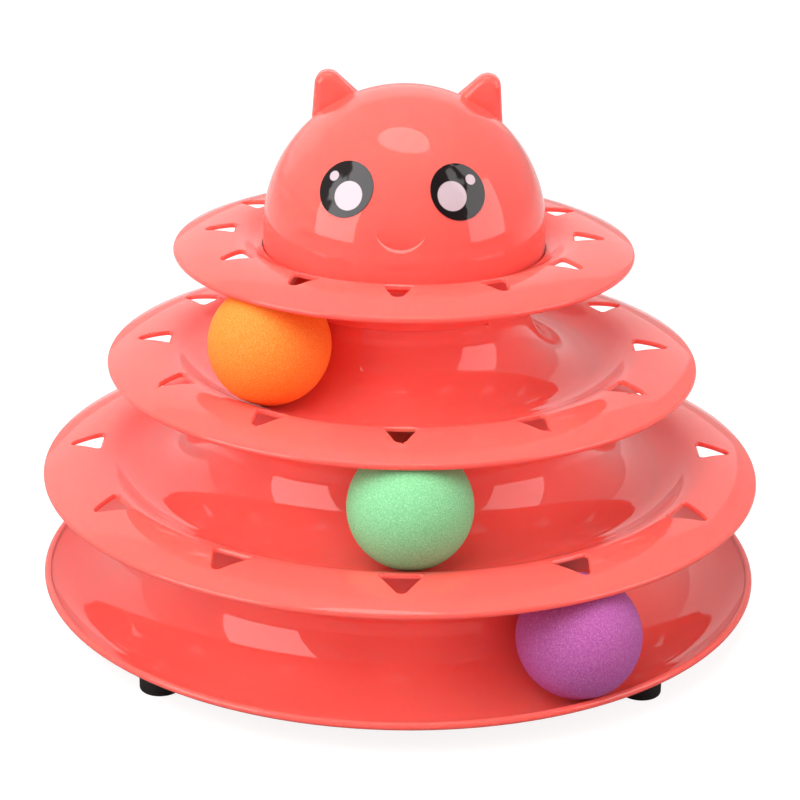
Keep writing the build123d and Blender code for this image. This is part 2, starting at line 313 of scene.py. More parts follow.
# Foam looks dull and dusty. Its cells are drawn as coarse as they need to be to show in the picture.
PURPLE_FOAM = FoamFinish("Purple EVA foam", "#AE58A1", "#9E4A93", "#C480BA")
GREEN_FOAM = FoamFinish("Pale green EVA foam", "#80CF92", "#72C184", "#A6E2B2")
ORANGE_FOAM = FoamFinish("Orange EVA foam", "#FC892A", "#F27C1C", "#FFA85A")
# Pressed rubber takes the light without a mirror image.
RUBBER = RubberFinish("Dull black rubber", "#120A0B", roughness=0.6, grain_mm=0.6)
# Film stuck on by hand shows bent and broken reflections.
LEFT_PRINT = StickerFinish(
    "Printed left eye film", big_spot=(0.17, -0.23, 0.51), small_spot=(-0.54, 0.38, 0.18), wave_seed=6.0
)
RIGHT_PRINT = StickerFinish(
    "Printed right eye film", big_spot=(-0.27, -0.14, 0.52), small_spot=(0.52, 0.37, 0.185), wave_seed=4.0
)


@dataclass(frozen=True)
class Run:
    """One smooth stretch of a section, drawn so that its skin faces left, in millimetres.

    The points are distances from the axis and heights above the floor. A round stretch has a centre, and
    a sign of 1 where its skin faces away from it.
    """

    points: np.ndarray
    centre: Pair | None = None
    sign: float = 1.0

    def normals(self, radius: np.ndarray, height: np.ndarray) -> tuple[np.ndarray, np.ndarray]:
        """Finds the exact outward normals of the stretch.

        Args:
            radius: Distances from the axis.
            height: Heights above the floor.

        Returns:
            Radial and upward shares of the normals.
        """
        if self.centre is None:
            along = self.points[-1] - self.points[0]
            along = along / np.linalg.norm(along)
            return np.full_like(radius, -along[1]), np.full_like(height, along[0])
        across = radius - self.centre[0]
        up = height - self.centre[1]
        length = np.hypot(across, up) * self.sign
        return across / length, up / length


def lines(*corners: Pair) -> list[Run]:
    """Draws straight stretches of a section.

    Args:
        corners: Corners in drawing order.

    Returns:
        One stretch between each two corners.
    """
    ends = zip(corners, corners[1:])
    return [Run(np.linspace(start, end, int(math.dist(start, end) / LINE_STEP) + 2)) for start, end in ends]


def arc(centre: Pair, radius: float, start: float, end: float, step: float = CURVE_STEP) -> Run:
    """Draws a round stretch of a section.

    Args:
        centre: Middle of the circle.
        radius: Radius of the circle.
        start: Angle at the start, in degrees.
        end: Angle at the end.
        step: Longest step between points, in degrees.

    Returns:
        The stretch.
    """
    count = max(3, int(abs(end - start) / step) + 2)
    angle = np.radians(np.linspace(start, end, count))
    points = np.stack([centre[0] + radius * np.cos(angle), centre[1] + radius * np.sin(angle)], axis=1)
    return Run(points, centre, 1.0 if end < start else -1.0)


@dataclass
class Sculpt:
    """Vertices and faces under way, each face with the number of the stretch it lies on."""

    vertices: list[Triple] = field(default_factory=list)
    faces: list[Face] = field(default_factory=list)
    marks: list[int] = field(default_factory=list)

    def add(self, points: np.ndarray, faces: list[Face], mark: int = FREE_MARK) -> None:
        """Adds a patch.

        Args:
            points: Vertices in millimetres.
            faces: Faces between them.
            mark: Number of the stretch.
        """
        base = len(self.vertices)
        self.vertices.extend(map(tuple, np.asarray(points) * MM))
        self.faces.extend(tuple(base + index for index in face) for face in faces)
        self.marks.extend([mark] * len(faces))

    def sweep(self, run: Run, mark: int, angles: np.ndarray) -> None:
        """Adds a stretch turned about the axis.

        Args:
            run: The stretch.
            mark: Its number.
            angles: Angles that it is turned through, in radians.
        """
        radius, height = run.points[:, 0], run.points[:, 1]
        count, turns = len(radius), len(angles)
        across, along = np.outer(np.cos(angles), radius), np.outer(np.sin(angles), radius)
        grid = np.stack([across, along, np.outer(np.ones(turns), height)], axis=2).reshape(-1, 3)
        lows = [turn * count + step for turn in range(turns - 1) for step in range(count - 1)]
        self.add(grid, [(low, low + 1, low + count + 1, low + count) for low in lows], mark)

    def mesh(self, name: str) -> Mesh:
        """Turns the sculpt into a mesh with its marks on the faces.

        Args:
            name: Name of the mesh.

        Returns:
            The mesh.
        """
        mesh = bpy.data.meshes.new(name)
        mesh.from_pydata(self.vertices, [], self.faces)
        store = mesh.attributes.new("mark", "INT", "FACE")
        store.data.foreach_set("value", np.array(self.marks, dtype=np.int32))
        mesh.update()
        return mesh


def new_tree(name: str, **inputs: str) -> tuple[NodeTree, bpy.types.NodeOutputs]:
    """Starts a geometry node tree.

    Args:
        name: Name of the tree.
        inputs: Kind of each input by its name, with underscores for spaces.

    Returns:
        The tree and the sockets of its inputs.
    """
    tree = bpy.data.node_groups.new(name, "GeometryNodeTree")
    for key, kind in inputs.items():
        tree.interface.new_socket(key.replace("_", " "), in_out="INPUT", socket_type=f"NodeSocket{kind}")
    tree.interface.new_socket("Geometry", in_out="OUTPUT", socket_type="NodeSocketGeometry")
    return tree, add_node(tree, "NodeGroupInput").outputs


def round_the_axis_tree() -> NodeTree:
    """Builds the tree that repeats a sector, a key or a peg round the tower's axis.

    Returns:
        The tree.
    """
    tree, given = new_tree(
        "Round the axis", Geometry="Geometry", Count="Int", First_Angle="Float", Weld="Float",
        Material="Material",
    )
    index = add_node(tree, "GeometryNodeInputIndex")
    share = add_node(tree, "ShaderNodeMath", index.outputs["Index"], given["Count"], operation="DIVIDE")
    turn = add_node(
        tree, "ShaderNodeMath", share.outputs["Value"], 2.0 * math.pi, given["First Angle"],
        operation="MULTIPLY_ADD",
    )
    spin = add_node(tree, "ShaderNodeCombineXYZ", Z=turn.outputs["Value"])
    points = add_node(tree, "GeometryNodePoints", Count=given["Count"])
    copies = add_node(
        tree, "GeometryNodeInstanceOnPoints", Points=points.outputs["Points"], Instance=given["Geometry"],
        Rotation=spin.outputs["Vector"],
    )
    real = add_node(tree, "GeometryNodeRealizeInstances", Geometry=copies.outputs["Instances"])
    joined = add_node(
        tree, "GeometryNodeMergeByDistance", Geometry=real.outputs["Geometry"], Distance=given["Weld"]
    )
    paint = add_node(
        tree, "GeometryNodeSetMaterial", Geometry=joined.outputs["Geometry"], Material=given["Material"]
    )
    add_node(tree, "NodeGroupOutput", Geometry=paint.outputs["Geometry"])
    return tree


def foam_ball_tree() -> NodeTree:
    """Builds the tree that moulds a foam ball with a faintly pitted skin.

    Returns:
        The tree.
    """
    tree, given = new_tree(
        "Foam ball", Geometry="Geometry", Radius="Float", Pit_Depth="Float", Pit_Scale="Float",
        Middle="Vector", Material="Material",
    )
    ball = add_node(tree, "GeometryNodeMeshIcoSphere", Radius=given["Radius"], Subdivisions=7)
    noise = add_node(tree, "ShaderNodeTexNoise", Scale=given["Pit Scale"], Detail=2.0)
    depth = add_node(tree, "ShaderNodeMath", noise.outputs["Fac"], given["Pit Depth"], operation="MULTIPLY")
    inward = add_node(tree, "ShaderNodeMath", depth.outputs["Value"], -1.0, operation="MULTIPLY")
    normal = add_node(tree, "GeometryNodeInputNormal").outputs["Normal"]
    shift = add_node(tree, "ShaderNodeVectorMath", normal, operation="SCALE", Scale=inward.outputs["Value"])
    pits = add_node(
        tree, "GeometryNodeSetPosition", Geometry=ball.outputs["Mesh"], Offset=shift.outputs["Vector"]
    )
    place = add_node(
        tree, "GeometryNodeTransform", Geometry=pits.outputs["Geometry"], Translation=given["Middle"]
    )
    smooth = add_node(tree, "GeometryNodeSetShadeSmooth", Geometry=place.outputs["Geometry"])
    real = add_node(tree, "GeometryNodeRealizeInstances", Geometry=smooth.outputs["Geometry"])
    paint = add_node(
        tree, "GeometryNodeSetMaterial", Geometry=real.outputs["Geometry"], Material=given["Material"]
    )
    add_node(tree, "NodeGroupOutput", Geometry=paint.outputs["Geometry"])
    return tree


def grow(obj: Object, tree: NodeTree, values: dict[str, object]) -> None:
    """Runs a geometry node tree on an object once and keeps the result as its plain mesh.

    Args:
        obj: Object whose mesh is the tree's input.
        tree: Geometry node tree.
        values: Input values by socket name.
    """
    modifier = obj.modifiers.new("grow", "NODES")
    modifier.node_group = tree
    for socket in tree.interface.items_tree:
        if socket.in_out == "INPUT" and socket.name in values:
            modifier[socket.identifier] = values[socket.name]
    obj.update_tag()
    graph = bpy.context.evaluated_depsgraph_get()
    mesh = bpy.data.meshes.new_from_object(obj.evaluated_get(graph), depsgraph=graph)
    obj.modifiers.remove(modifier)
    spare = obj.data
    obj.data = mesh
    mesh.name = obj.name
    bpy.data.meshes.remove(spare)


def new_object(name: str, mesh: Mesh) -> Object:
    """Puts a mesh into the scene.

    Args:
        name: Name of the object.
        mesh: Its mesh.

    Returns:
        The object.
    """
    obj = bpy.data.objects.new(name, mesh)
    bpy.context.scene.collection.objects.link(obj)
    return obj


def hand_over(obj: Object, body: str, node: str) -> None:
    """Lets a finished piece stand for a node of the construction.

    Args:
        obj: The piece.
        body: Body that it moves with.
        node: Node that it replaces.
    """
    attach(obj, body)
    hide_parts(node)


def weld(mesh: Mesh) -> None:
    """Joins the corners of a mesh that lie together.

    Args:
        mesh: The mesh.
    """
    net = bmesh.new()
    net.from_mesh(mesh)
    bmesh.ops.remove_doubles(net, verts=net.verts, dist=WELD)
    net.to_mesh(mesh)
    net.free()


def gather(items: bpy.types.bpy_prop_collection, name: str, width: int = 1) -> np.ndarray:
    """Reads one property of all the items of a mesh.

    Args:
        items: Vertices, loops, faces or values of the mesh.
        name: Name of the property.
        width: Numbers per item: 3 for a place or direction, or 1 for a count.

    Returns:
        One row per item.
    """
    values = np.empty(len(items) * width, dtype=np.float32 if width > 1 else np.int32)
    items.foreach_get(name, values)
    return values.reshape(-1, width).astype(float) if width > 1 else values


def smooth_fallback(mesh: Mesh, degrees: float) -> np.ndarray:
    """Shades a mesh smooth, for faces with no exact normal.

    Args:
        mesh: The mesh.
        degrees: Edges that bend more than this stay sharp.

    Returns:
        Normal of each face corner.
    """
    mesh.polygons.foreach_set("use_smooth", np.ones(len(mesh.polygons), dtype=bool))
    mesh.set_sharp_from_angle(angle=math.radians(degrees))
    return gather(mesh.corner_normals, "vector", 3)


def corner_table(mesh: Mesh) -> tuple[np.ndarray, np.ndarray]:
    """Lists the face corners of a mesh.

    Args:
        mesh: The mesh.

    Returns:
        Position of each corner in millimetres, and the face it belongs to.
    """
    owner = np.repeat(np.arange(len(mesh.polygons)), gather(mesh.polygons, "loop_total"))
    return gather(mesh.vertices, "co", 3)[gather(mesh.loops, "vertex_index")] / MM, owner


def whole_faces(chosen: np.ndarray, owner: np.ndarray) -> np.ndarray:
    """Keeps those chosen face corners whose whole face is chosen.

    Args:
        chosen: Whether each corner is chosen.
        owner: Face of each corner.

    Returns:
        Whether each corner is kept.
    """
    return (np.bincount(owner, weights=chosen) == np.bincount(owner))[owner]


@dataclass(frozen=True)
class RingShape:
    """Sizes that the rings share, in millimetres and degrees, as in the construction.

    The rounding of the rims, holes and skirts is this model's own, for the light on their edges.
    """

    wall: float = 1.5
    crest_inset: float = 18.7
    flank_run: float = 17.3
    trough_margin: float = 0.3
    trough_depth: float = 4.9
    crest_share: float = 0.4
    brim_round: float = 40.0
    rim_depth: float = 2.4
    rim_width: float = 2.0
    rim_round: float = 1.15
    skirt_round: float = 0.6
    sweep: float = 20.5
    skirt_gap: float = 0.3
    skirt_drop: float = 20.3
    landing: float = 5.0
    landing_round: float = 1.0
    ball_radius: float = 20.0
    ball_side_gap: float = 0.2
    hole_corner_round: float = 1.0
    hole_tip_round: float = 2.0
    hole_edge_round: float = 0.45
    hole_count: int = 12
    key_count: int = 3
    key_angle: float = -44.0
    key_width: float = 11.0
    key_height: float = 1.8
    key_gap: float = 0.3
    key_stand: float = 1.2
    key_drop: float = 1.0

    @property
    def ball_inset(self) -> float:
        """From the rim in to the ball's circle."""
        return self.crest_inset + self.flank_run + self.trough_margin

    @property
    def flank_turn(self) -> float:
        """Angle through which the flank bends, in radians."""
        return 2.0 * math.atan2(self.trough_depth, self.flank_run)

    @property
    def crest_round(self) -> float:
        """Radius of the crest."""
        return self.flank_run / math.sin(self.flank_turn) * self.crest_share

    @property
    def trough_round(self) -> float:
        """Radius of the hollow flank."""
        return self.flank_run / math.sin(self.flank_turn) - self.crest_round

    @property
    def brim_turn(self) -> float:
        """Angle through which the brim droops, in radians."""
        return math.asin(self.crest_inset / self.brim_round)

    @property
    def bead_reach(self) -> float:
        """From the brim's bending middle out to where the thickened edge starts on its underside."""
        return math.sqrt((self.brim_round - self.wall) ** 2 - self.rim_width ** 2)

    def skirt_radius(self, ball_circle: float) -> float:
        """Outside of the skirt beside a ball's circle."""
        return ball_circle - self.ball_radius - self.ball_side_gap

    def column_radius(self, ball_circle: float) -> float:
        """Outside of the column inside that skirt."""
        return self.skirt_radius(ball_circle) - self.wall - self.skirt_gap

    def drop(self, distance: float) -> float:
        """How far a brim has fallen at a distance outside its crest."""
        return self.brim_round - math.sqrt(self.brim_round ** 2 - distance ** 2)


SHAPE = RingShape()


@dataclass(frozen=True)
class CrestAndBrim:
    """Exact normals of a skin that is the crest inside one circle and the brim outside it."""

    crest_circle: float
    crest: float
    sign: float

    def normals(self, radius: np.ndarray, height: np.ndarray) -> tuple[np.ndarray, np.ndarray]:
        """Finds the exact outward normals of the skin.

        Args:
            radius: Distances from the axis.
            height: Heights above the floor.

        Returns:
            Radial and upward shares of the normals.
        """
        bend = np.where(radius < self.crest_circle, SHAPE.crest_round, SHAPE.brim_round)
        across = radius - self.crest_circle
        up = height - (self.crest - bend)
        length = np.hypot(across, up) * self.sign
        return across / length, up / length


def exact_normals(mesh: Mesh, runs: dict[int, Run | CrestAndBrim], degrees: float = 50.0) -> None:
    """Gives a turned moulding the exact normals of its section, so that reflections run clean.

    Args:
        mesh: Mesh whose faces are marked with their stretch.
        runs: Stretch by mark. Faces with another mark keep plain smooth normals.
        degrees: Edges that bend more than this stay sharp there.
    """
    normals = smooth_fallback(mesh, degrees)
    places, owner = corner_table(mesh)
    marks = gather(mesh.attributes["mark"].data, "value")[owner]
    radius = np.hypot(places[:, 0], places[:, 1])
    for mark, run in runs.items():
        chosen = marks == mark
        across, up = run.normals(radius[chosen], places[chosen, 2])
        outward = places[chosen, :2] / radius[chosen, None]
        normals[chosen] = np.column_stack([outward * across[:, None], up])
    mesh.normals_split_custom_set(normals.tolist())


@dataclass(frozen=True)
class HoleRow:
    """Sizes of one ring's row of holes in millimetres, and its turn in degrees."""

    width: float
    length: float
    setback: float
    turn: float


LOWER_HOLES = HoleRow(width=13.4, length=10.7, setback=1.2, turn=0.5)
MIDDLE_HOLES = HoleRow(width=10.8, length=10.9, setback=2.8, turn=0.0)
TOP_HOLES = HoleRow(width=9.5, length=9.8, setback=2.2, turn=-1.5)


@dataclass
class HoledBrim:
    """One sector of a ring from the crest's bend to the rim, pierced by a rounded triangle."""

    rim: float
    crest: float
    row: HoleRow
    upper_mark: int
    lower_mark: int
    rows: int = 26
    columns: int = 33
    corner_points: int = 9
    edge_step: float = 0.8
    edge_margin: float = 0.5

    @property
    def crest_circle(self) -> float:
        """Radius of the crest's highest circle."""
        return self.rim - SHAPE.crest_inset

    def bounds(self, inset: float) -> Pair:
        """Finds how far a skin reaches.

        Args:
            inset: Depth of the skin below the upper face.

        Returns:
            Inner and outer radius.
        """
        inner = self.crest_circle - (SHAPE.crest_round - inset) * math.sin(SHAPE.flank_turn)
        reach, cut = (SHAPE.bead_reach, SHAPE.rim_width) if inset else (SHAPE.brim_round, SHAPE.rim_round)
        outer = self.crest_circle + reach * math.sin(SHAPE.brim_turn) - cut * math.cos(SHAPE.brim_turn)
        return inner, outer

    def raised(self, flat: np.ndarray, inset: float, sink: float = 0.0) -> np.ndarray:
        """Lifts flat points onto a skin.

        Args:
            flat: Points seen from above.
            inset: Depth of the skin below the upper face.
            sink: Further depth below the skin.

        Returns:
            The points with their heights.
        """
        radius = np.hypot(flat[:, 0], flat[:, 1])
        bend = np.where(radius < self.crest_circle, SHAPE.crest_round, SHAPE.brim_round)
        height = self.crest - bend + np.sqrt((bend - inset) ** 2 - (radius - self.crest_circle) ** 2)
        return np.column_stack([flat, height - sink])

    def outline(self, grown: float) -> np.ndarray:
        """Draws one hole about the +X axis.

        Args:
            grown: How much the hole is widened.

        Returns:
            Its outline, anticlockwise.
        """
        side = self.crest_circle - self.row.setback
        corner, tip = SHAPE.hole_corner_round, SHAPE.hole_tip_round
        centres = (
            (side + corner, corner - self.row.width / 2, corner),
            (side + self.row.length - tip, 0.0, tip),
            (side + corner, self.row.width / 2 - corner, corner),
        )
        points = []
        for index, (x, y, round_off) in enumerate(centres):
            before = self.tangent(centres[index - 1], centres[index])
            after = self.tangent(centres[index], centres[(index + 1) % 3])
            turn = (after - before) % (2 * math.pi)
            reach = round_off + grown
            for angle in before + turn * np.linspace(0.0, 1.0, self.corner_points):
                points.append((x + reach * math.cos(angle), y + reach * math.sin(angle)))
        dense = []
        for point, after in zip(points, points[1:] + points[:1]):
            pieces = max(1, int(math.dist(point, after) / self.edge_step))
            dense.extend(np.linspace(point, after, pieces, endpoint=False))
        return np.array(dense)

    @staticmethod
    def tangent(first: Triple, second: Triple) -> float:
        """Finds where the shared outer tangent of two circles touches them, going anticlockwise.

        Args:
            first: Middle and radius of the first circle.
            second: Middle and radius of the next one.

        Returns:
            Direction from the middles to the line, in radians.
        """
        along = math.atan2(second[1] - first[1], second[0] - first[0])
        distance = math.hypot(second[0] - first[0], second[1] - first[1])
        return along - math.acos((first[2] - second[2]) / distance)

    def skin(self, inset: float, grown: float, angles: np.ndarray) -> tuple[np.ndarray, list[Face]]:
        """Makes the upper or lower skin as a clean net of triangles.

        Args:
            inset: Depth below the upper face.
            grown: How much the hole is widened.
            angles: Turn angles of the sector's edge, in radians.

        Returns:
            Points in millimetres and triangles between them, seen from above.
        """
        inner, outer = self.bounds(inset)
        radii = np.linspace(inner, outer, self.rows)
        hole = self.outline(grown)
        border = [(inner, a) for a in angles] + [(r, angles[-1]) for r in radii[1:-1]]
        border += [(outer, a) for a in angles[::-1]] + [(r, angles[0]) for r in radii[-2:0:-1]]
        border = np.array([(r * math.cos(a), r * math.sin(a)) for r, a in border])
        fine = np.linspace(angles[0], angles[-1], self.columns)
        grid = np.array([(r * math.cos(a), r * math.sin(a)) for r in radii[1:-1] for a in fine[1:-1]])
        gap = np.min(np.linalg.norm(grid[:, None] - hole[None], axis=2), axis=1)
        grid = grid[(gap > self.edge_margin) & ~self.within(grid, hole)]
        edges = [(i, (i + 1) % len(border)) for i in range(len(border))]
        edges += [(len(border) + i, len(border) + (i + 1) % len(hole)) for i in range(len(hole))]
        points = [Vector(point) for point in np.concatenate([border, hole, grid])]
        flat, _, triangles, *_ = delaunay_2d_cdt(points, edges, [], 0, 1e-7)
        flat = np.array([(point.x, point.y) for point in flat])
        middles = np.array([flat[list(triangle)].mean(axis=0) for triangle in triangles])
        keep = self.within(middles, border) & ~self.within(middles, hole)
        return self.raised(flat, inset), [tuple(triangle) for triangle, kept in zip(triangles, keep) if kept]

    @staticmethod
    def within(points: np.ndarray, outline: np.ndarray) -> np.ndarray:
        """Finds which points lie inside an outline.

        Args:
            points: The points.
            outline: A closed outline.

        Returns:
            Whether each point lies inside.
        """
        result = np.zeros(len(points), dtype=bool)
        for (ax, ay), (bx, by) in zip(outline, np.roll(outline, -1, axis=0)):
            if ay == by:
                continue
            spans = (ay > points[:, 1]) != (by > points[:, 1])
            cross = (bx - ax) * (points[:, 1] - ay) / (by - ay) + ax
            result ^= spans & (points[:, 0] < cross)
        return result

    def add_to(self, sculpt: Sculpt, angles: np.ndarray) -> None:
        """Adds the sector with its hole to a sculpt.

        Args:
            sculpt: Sculpt that gets the faces.
            angles: Turn angles of the sector's edge, in radians.
        """
        edge = SHAPE.hole_edge_round
        upper, faces = self.skin(0.0, edge, angles)
        sculpt.add(upper, faces, self.upper_mark)
        lower, faces = self.skin(SHAPE.wall, 0.0, angles)
        sculpt.add(lower, [face[::-1] for face in faces], self.lower_mark)
        wide, hole = self.outline(edge), self.outline(0.0)
        count = min(len(wide), len(hole))
        wide, hole = self.resample(wide, count), self.resample(hole, count)
        rings = [self.raised(wide, 0.0), self.raised(hole, 0.0, edge), self.raised(hole, SHAPE.wall)]
        walls = []
        for level in (0, count):
            for index in range(count):
                low, after = level + index, level + (index + 1) % count
                walls.append((low, low + count, after + count, after))
        sculpt.add(np.concatenate(rings), walls)

    @staticmethod
    def resample(outline: np.ndarray, count: int) -> np.ndarray:
        """Spreads a closed outline's points evenly along it.

        Args:
            outline: The outline.
            count: Number of points.

        Returns:
            The new points.
        """
        closed = np.concatenate([outline, outline[:1]])
        length = np.concatenate([[0.0], np.cumsum(np.hypot(*np.diff(closed, axis=0).T))])
        share = np.linspace(0.0, length[-1], count, endpoint=False)
        return np.column_stack([np.interp(share, length, axis) for axis in closed.T])


@dataclass
class Moulding:
    """A shell turned about the tower's axis and repeated sector by sector, with its skirt, keys and pegs."""

    node: str
    body: str
    material: Material
    tree: NodeTree
    runs: dict[int, Run | CrestAndBrim] = field(default_factory=dict)
    extras: Sculpt = field(default_factory=Sculpt)
    brim: HoledBrim | None = None
    sector_points: int = 17
    skirt_steps: int = 192
    skirt_round_step: float = 25.0

    def draw(self, *stretches: Run) -> None:
        """Numbers the stretches of the section."""
        for run in stretches:
            self.runs[len(self.runs) + 1] = run

    def pierce(self, rim: float, crest: float, row: HoleRow) -> None:
        """Adds the crest and brim with their holes.

        Args:
            rim: Radius of the brim.
            crest: Height of the crest.
            row: The row of holes.
        """
        upper, lower = len(self.runs) + 1, len(self.runs) + 2
        self.brim = HoledBrim(rim, crest, row, upper, lower)
        for mark, sign in ((upper, 1.0), (lower, -1.0)):
            self.runs[mark] = CrestAndBrim(self.brim.crest_circle, crest, sign)

    def repeat(self, obj: Object, count: int, first: float) -> None:
        """Repeats an object's mesh round the axis.

        Args:
            obj: Object with a mesh about the +X axis.
            count: Number of copies.
            first: Angle of the first copy, in degrees.
        """
        values = {"Count": count, "First Angle": math.radians(first), "Weld": WELD, "Material": self.material}
        grow(obj, self.tree, values)

    def add_round(self, patch: Sculpt, count: int, first: float) -> None:
        """Adds copies of a patch round the axis to the extras.

        Args:
            patch: Patch about the +X axis.
            count: Number of copies.
            first: Angle of the first copy, in degrees.
        """
        obj = new_object("patch", patch.mesh("patch"))
        self.repeat(obj, count, first)
        mesh = obj.data
        self.extras.add(gather(mesh.vertices, "co", 3) / MM, [tuple(face.vertices) for face in mesh.polygons])
        bpy.data.objects.remove(obj)
        bpy.data.meshes.remove(mesh)

    def add_skirt(self, outer: float, bottom: float, top: float) -> None:
        """Adds the skirt that plugs over the column below, with its key notches.

        Args:
            outer: Outside radius of the skirt.
            bottom: Height of the lower edge.
            top: Height at which the skirt meets the shell.
        """
        inner, roof, circle = outer - SHAPE.wall, bottom + SHAPE.key_height, 2 * math.pi
        half = math.asin(SHAPE.key_width / 2 / (outer - SHAPE.wall / 2))
        first, pitch = math.radians(SHAPE.key_angle), circle / SHAPE.key_count
        keys = [first + pitch * key for key in range(SHAPE.key_count)]
        cuts = [(key + side) % circle for key in keys for side in (-half, half)]
        angles = np.unique(np.concatenate([np.linspace(0.0, circle, self.skirt_steps, endpoint=False), cuts]))
        centre = (outer - SHAPE.skirt_round, bottom + SHAPE.skirt_round)
        rounded = arc(centre, SHAPE.skirt_round, 0.0, -90.0, self.skirt_round_step)
        edge = [tuple(point) for point in rounded.points]

        def turned(angle: float, profile: list[Pair]) -> list[Triple]:
            """Turns a profile about the axis."""
            across, along = math.cos(angle), math.sin(angle)
            return [(radius * across, radius * along, height) for radius, height in profile]

        for start, end in zip(angles, np.roll(angles, -1)):
            middle = start + ((end - start) % circle) / 2
            notched = any(abs((middle - key + math.pi) % circle - math.pi) < half for key in keys)
            foot = [(outer, roof), (inner, roof)] if notched else [*edge, (inner, bottom)]
            profile = [(outer, top), *foot, (inner, top)]
            count = len(profile)
            faces = [(low, low + 1, low + 1 + count, low + count) for low in range(count - 1)]
            self.extras.add(np.array(turned(start, profile) + turned(end, profile)), faces)
        cheek = [*edge, (inner, bottom), (inner, roof), (outer, roof)]
        order = tuple(range(len(cheek)))
        for key in keys:
            self.extras.add(np.array(turned(key - half, cheek)), [order])
            self.extras.add(np.array(turned(key + half, cheek)), [order[::-1]])

    def add_keys(self, column: float, skirt_bottom: float) -> None:
        """Adds the keys on the column that fill the notches of the skirt above.

        Args:
            column: Outside radius of the column.
            skirt_bottom: Height of that skirt's lower edge.
        """
        half = SHAPE.key_width / 2 - SHAPE.key_gap
        reaches = (column - SHAPE.wall / 2, column + SHAPE.key_stand)
        heights = (skirt_bottom - SHAPE.key_drop, skirt_bottom + SHAPE.key_height - SHAPE.key_gap)
        corners = [(reach, side, height) for reach in reaches for side in (-half, half) for height in heights]
        key = Sculpt()
        key.add(np.array(corners), [(4, 6, 7, 5), (1, 5, 7, 3), (0, 2, 6, 4), (0, 4, 5, 1), (2, 3, 7, 6)])
        self.add_round(key, SHAPE.key_count, SHAPE.key_angle)

    def build(self) -> Object:
        """Makes the piece: one sector, its copies, the extras and exact normals.

        Returns:
            The finished object.
        """
        half = math.pi / SHAPE.hole_count
        angles = np.linspace(-half, half, self.sector_points)
        sector = Sculpt()
        for mark, run in self.runs.items():
            if isinstance(run, Run):
                sector.sweep(run, mark, angles)
        turn = 0.0
        if self.brim is not None:
            self.brim.add_to(sector, angles)
            turn = self.brim.row.turn
        name = f"{self.node}_shell"
        obj = new_object(name, sector.mesh(name))
        self.repeat(obj, SHAPE.hole_count, turn - 90.0)
        self.join_extras(obj)
        exact_normals(obj.data, self.runs)
        hand_over(obj, self.body, self.node)
        return obj

    def join_extras(self, obj: Object) -> None:
        """Joins the skirt, keys and pegs into the piece's mesh.

        Args:
            obj: The piece.
        """
        mesh = obj.data
        sculpt = Sculpt(
            [tuple(vertex.co) for vertex in mesh.vertices],
            [tuple(face.vertices) for face in mesh.polygons],
            gather(mesh.attributes["mark"].data, "value").tolist(),
        )
        sculpt.add(np.array(self.extras.vertices) / MM, self.extras.faces)
        obj.data = sculpt.mesh(obj.name)
        obj.data.materials.append(self.material)
        weld(obj.data)
        bpy.data.meshes.remove(mesh)


@dataclass
class Tower:
    """Heights and radii that the tower's shells, head and balls share, in millimetres and degrees."""

    plastic: Material
    sectors: NodeTree
    base_radius: float = 125.0
    tier_radius: float = 124.3
    ring_step: float = 23.0
    base_floor: float = 9.05
    base_ball_inset: float = 14.0
    ball_lift: float = 0.3
    base_head_room: float = 2.9
    head_room: float = 1.7
    seat_gap: float = 0.1
    seat_drop: float = 2.0
    seat_share: float = 0.338
    socket_gap: float = 0.45
    head_rise: float = 9.05
    head_turn: float = -1.5

    def __post_init__(self) -> None:
        """Works out the circles of the balls and the heights of the rings."""
        self.base_circle = self.base_radius - self.base_ball_inset
        self.lower_circle = self.tier_radius - SHAPE.ball_inset
        self.middle_circle = self.lower_circle - self.ring_step
        reach = self.ring_step + SHAPE.crest_inset - SHAPE.ball_inset
        base_reach = self.base_circle - self.tier_radius + SHAPE.crest_inset
        room = self.ball_lift + 2 * SHAPE.ball_radius + SHAPE.wall
        self.pitch = room + self.head_room + SHAPE.drop(reach) - SHAPE.trough_depth
        self.lower_crest = self.base_floor + room + self.base_head_room + SHAPE.drop(base_reach)
        self.middle_crest = self.lower_crest + self.pitch
        self.top_crest = self.middle_crest + self.pitch
        self.seat_floor = self.top_crest - SHAPE.trough_depth - self.seat_drop
        self.top_rim = self.tier_radius - 2 * self.ring_step
        top_trough = self.top_rim - SHAPE.crest_inset - SHAPE.flank_run
        self.head_radius = top_trough + SHAPE.flank_run * self.seat_share - self.socket_gap
        self.head_centre = self.seat_floor + self.head_rise

    def moulding(self, node: str, body: str) -> Moulding:
        """Starts a shell."""
        return Moulding(node, body, self.plastic, self.sectors)


def column_upper(column: float, top: float, floor: float, trough: float) -> list[Run]:
    """Draws the upper skin of a shell from the landing on its column to the trough.

    Args:
        column: Outside radius of the column.
        top: Height of the landing.
        floor: Height of the trough.
        trough: Radius of the trough's lowest circle.

    Returns:
        The stretches.
    """
    round_off, sweep = SHAPE.landing_round, SHAPE.sweep
    return [
        *lines((column - SHAPE.landing, top), (column - round_off, top)),
        arc((column - round_off, top - round_off), round_off, 90.0, 0.0, EDGE_STEP),
        *lines((column, top - round_off), (column, floor + sweep)),
        arc((column + sweep, floor + sweep), sweep, 180.0, 270.0),
        *lines((column + sweep, floor), (trough, floor)),
    ]


